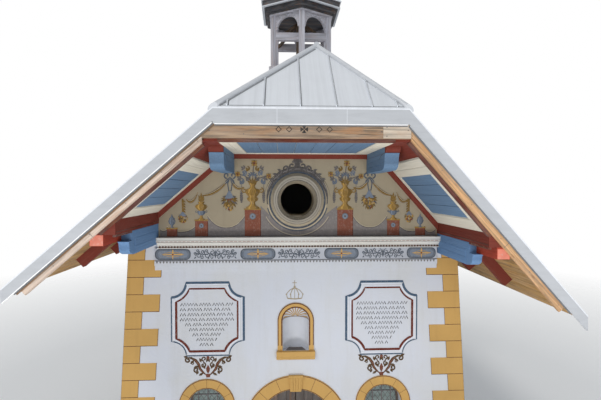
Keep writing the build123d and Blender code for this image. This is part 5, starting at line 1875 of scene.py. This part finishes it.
def sky():
    """A bright even sky, and a white background for what the camera sees or sees through glass."""
    world = bpy.data.worlds.new("studio_sky")
    world.use_nodes = True
    tree = world.node_tree
    tree.nodes.clear()
    shades = []
    for tone, strength in (((0.90, 0.95, 1.0, 1.0), 0.55), ((1.0, 1.0, 1.0, 1.0), 1.0)):
        shade = tree.nodes.new("ShaderNodeBackground")
        shade.inputs[0].default_value = tone
        shade.inputs[1].default_value = strength
        shades.append(shade)
    path = tree.nodes.new("ShaderNodeLightPath")
    seen = path.outputs["Is Camera Ray"]
    for name in ("Is Glossy Ray", "Is Transmission Ray"):
        add = tree.nodes.new("ShaderNodeMath")
        add.operation = "MAXIMUM"
        tree.links.new(seen, add.inputs[0])
        tree.links.new(path.outputs[name], add.inputs[1])
        seen = add.outputs[0]
    mix = tree.nodes.new("ShaderNodeMixShader")
    for index, socket in enumerate((seen, shades[0].outputs[0], shades[1].outputs[0])):
        tree.links.new(socket, mix.inputs[index])
    tree.links.new(mix.outputs[0], tree.nodes.new("ShaderNodeOutputWorld").inputs[0])
    return world


def aimed(direction):
    """The turn of a light whose back is to a direction."""
    return Vector(direction).to_track_quat("Z", "Y").to_euler()


class CHAPEL_OT_stage(bpy.types.Operator):
    """Add the pale floor, the soft light and the camera"""

    bl_idname = "chapel.stage"
    bl_label = "Stage and camera"

    def execute(self, context):
        scene, reach = context.scene, 120
        mesh = bpy.data.meshes.new("stage_floor")
        corners = [(-reach, -reach, 0), (reach, -reach, 0), (reach, reach, 0), (-reach, reach, 0)]
        mesh.from_pydata(corners, [], [(0, 1, 2, 3)])
        mesh.materials.append(floor_finish())
        ground = bpy.data.objects.new("stage_floor", mesh)
        ground.location.z = -0.002
        scene.collection.objects.link(ground)
        scene.world = sky()
        self.light(scene)
        self.camera(scene)
        scene.view_settings.view_transform = "Standard"
        return {"FINISHED"}

    def light(self, scene):
        """A soft sun from the front left, a wide fill before the facade and a bounce from the ground."""
        sun = bpy.data.lights.new("studio_sun", "SUN")
        sun.energy = 0.75
        sun.angle = radians(14)
        sun.color = (1.0, 0.96, 0.9)
        lamp = bpy.data.objects.new("studio_sun", sun)
        lamp.rotation_euler = aimed((-0.62, -0.72, 1.0))
        scene.collection.objects.link(lamp)
        for name, size, energy, place, target in (
            ("studio_fill", (14.0, 3.0), 190.0, (-0.8, -15.0, 2.6), (0.0, -4.0, 5.2)),
            ("studio_bounce", (10.0, 3.0), 500.0, (0.1, -10.5, 0.05), (0.1, -10.5, 5.0)),
        ):
            area = bpy.data.lights.new(name, "AREA")
            area.shape = "RECTANGLE"
            area.size, area.size_y = size
            area.energy = energy
            softbox = bpy.data.objects.new(name, area)
            softbox.location = place
            softbox.rotation_euler = aimed(Vector(place) - Vector(target))
            softbox.visible_camera = False
            scene.collection.objects.link(softbox)

    def camera(self, scene):
        """The photograph's view: level with the eaves, a little to the left of the door."""
        data = bpy.data.cameras.new("camera")
        data.sensor_width = 36.0
        data.lens = 23.96
        eye = bpy.data.objects.new("camera", data)
        eye.location = (-0.24, -11.23, 5.90)
        eye.rotation_euler = Euler((radians(88.57), 0.0, radians(-2.59)))
        scene.collection.objects.link(eye)
        scene.camera = eye


OPERATORS = (
    CHAPEL_OT_walls,
    CHAPEL_OT_panels,
    CHAPEL_OT_entablature,
    CHAPEL_OT_door,
    CHAPEL_OT_windows,
    CHAPEL_OT_niche,
    CHAPEL_OT_oculus,
    CHAPEL_OT_gable_painting,
    CHAPEL_OT_soffits,
    CHAPEL_OT_brackets,
    CHAPEL_OT_gable_timber,
    CHAPEL_OT_eaves,
    CHAPEL_OT_roof,
    CHAPEL_OT_belfry,
    CHAPEL_OT_stage,
)


class CHAPEL_PT_panel(bpy.types.Panel):
    """Lists the chapel's pieces, sizes and colours"""

    bl_idname = "CHAPEL_PT_panel"
    bl_label = "Small chapel"
    bl_space_type = "VIEW_3D"
    bl_region_type = "UI"
    bl_category = "Chapel"

    def draw(self, context):
        column = self.layout.column(align=True)
        for operator in OPERATORS:
            column.operator(operator.bl_idname)
        for group in (context.scene.chapel_sizes, context.scene.chapel_colours):
            box = self.layout.box()
            for name in group.bl_rna.properties.keys():
                if name not in ("rna_type", "name"):
                    box.prop(group, name)


CLASSES = (ChapelColours, ChapelSizes, *OPERATORS, CHAPEL_PT_panel)


def register():
    """Add the classes and the chapel's settings to Blender."""
    for cls in CLASSES:
        bpy.utils.register_class(cls)
    bpy.types.Scene.chapel_colours = PointerProperty(type=ChapelColours)
    bpy.types.Scene.chapel_sizes = PointerProperty(type=ChapelSizes)


def unregister():
    """Take them out again."""
    del bpy.types.Scene.chapel_sizes
    del bpy.types.Scene.chapel_colours
    for cls in reversed(CLASSES):
        bpy.utils.unregister_class(cls)


def main():
    """Dress the chapel and light it."""
    register()
    for operator in OPERATORS:
        group, name = operator.bl_idname.split(".")
        getattr(getattr(bpy.ops, group), name)()


if __name__ == "__main__":
    main()
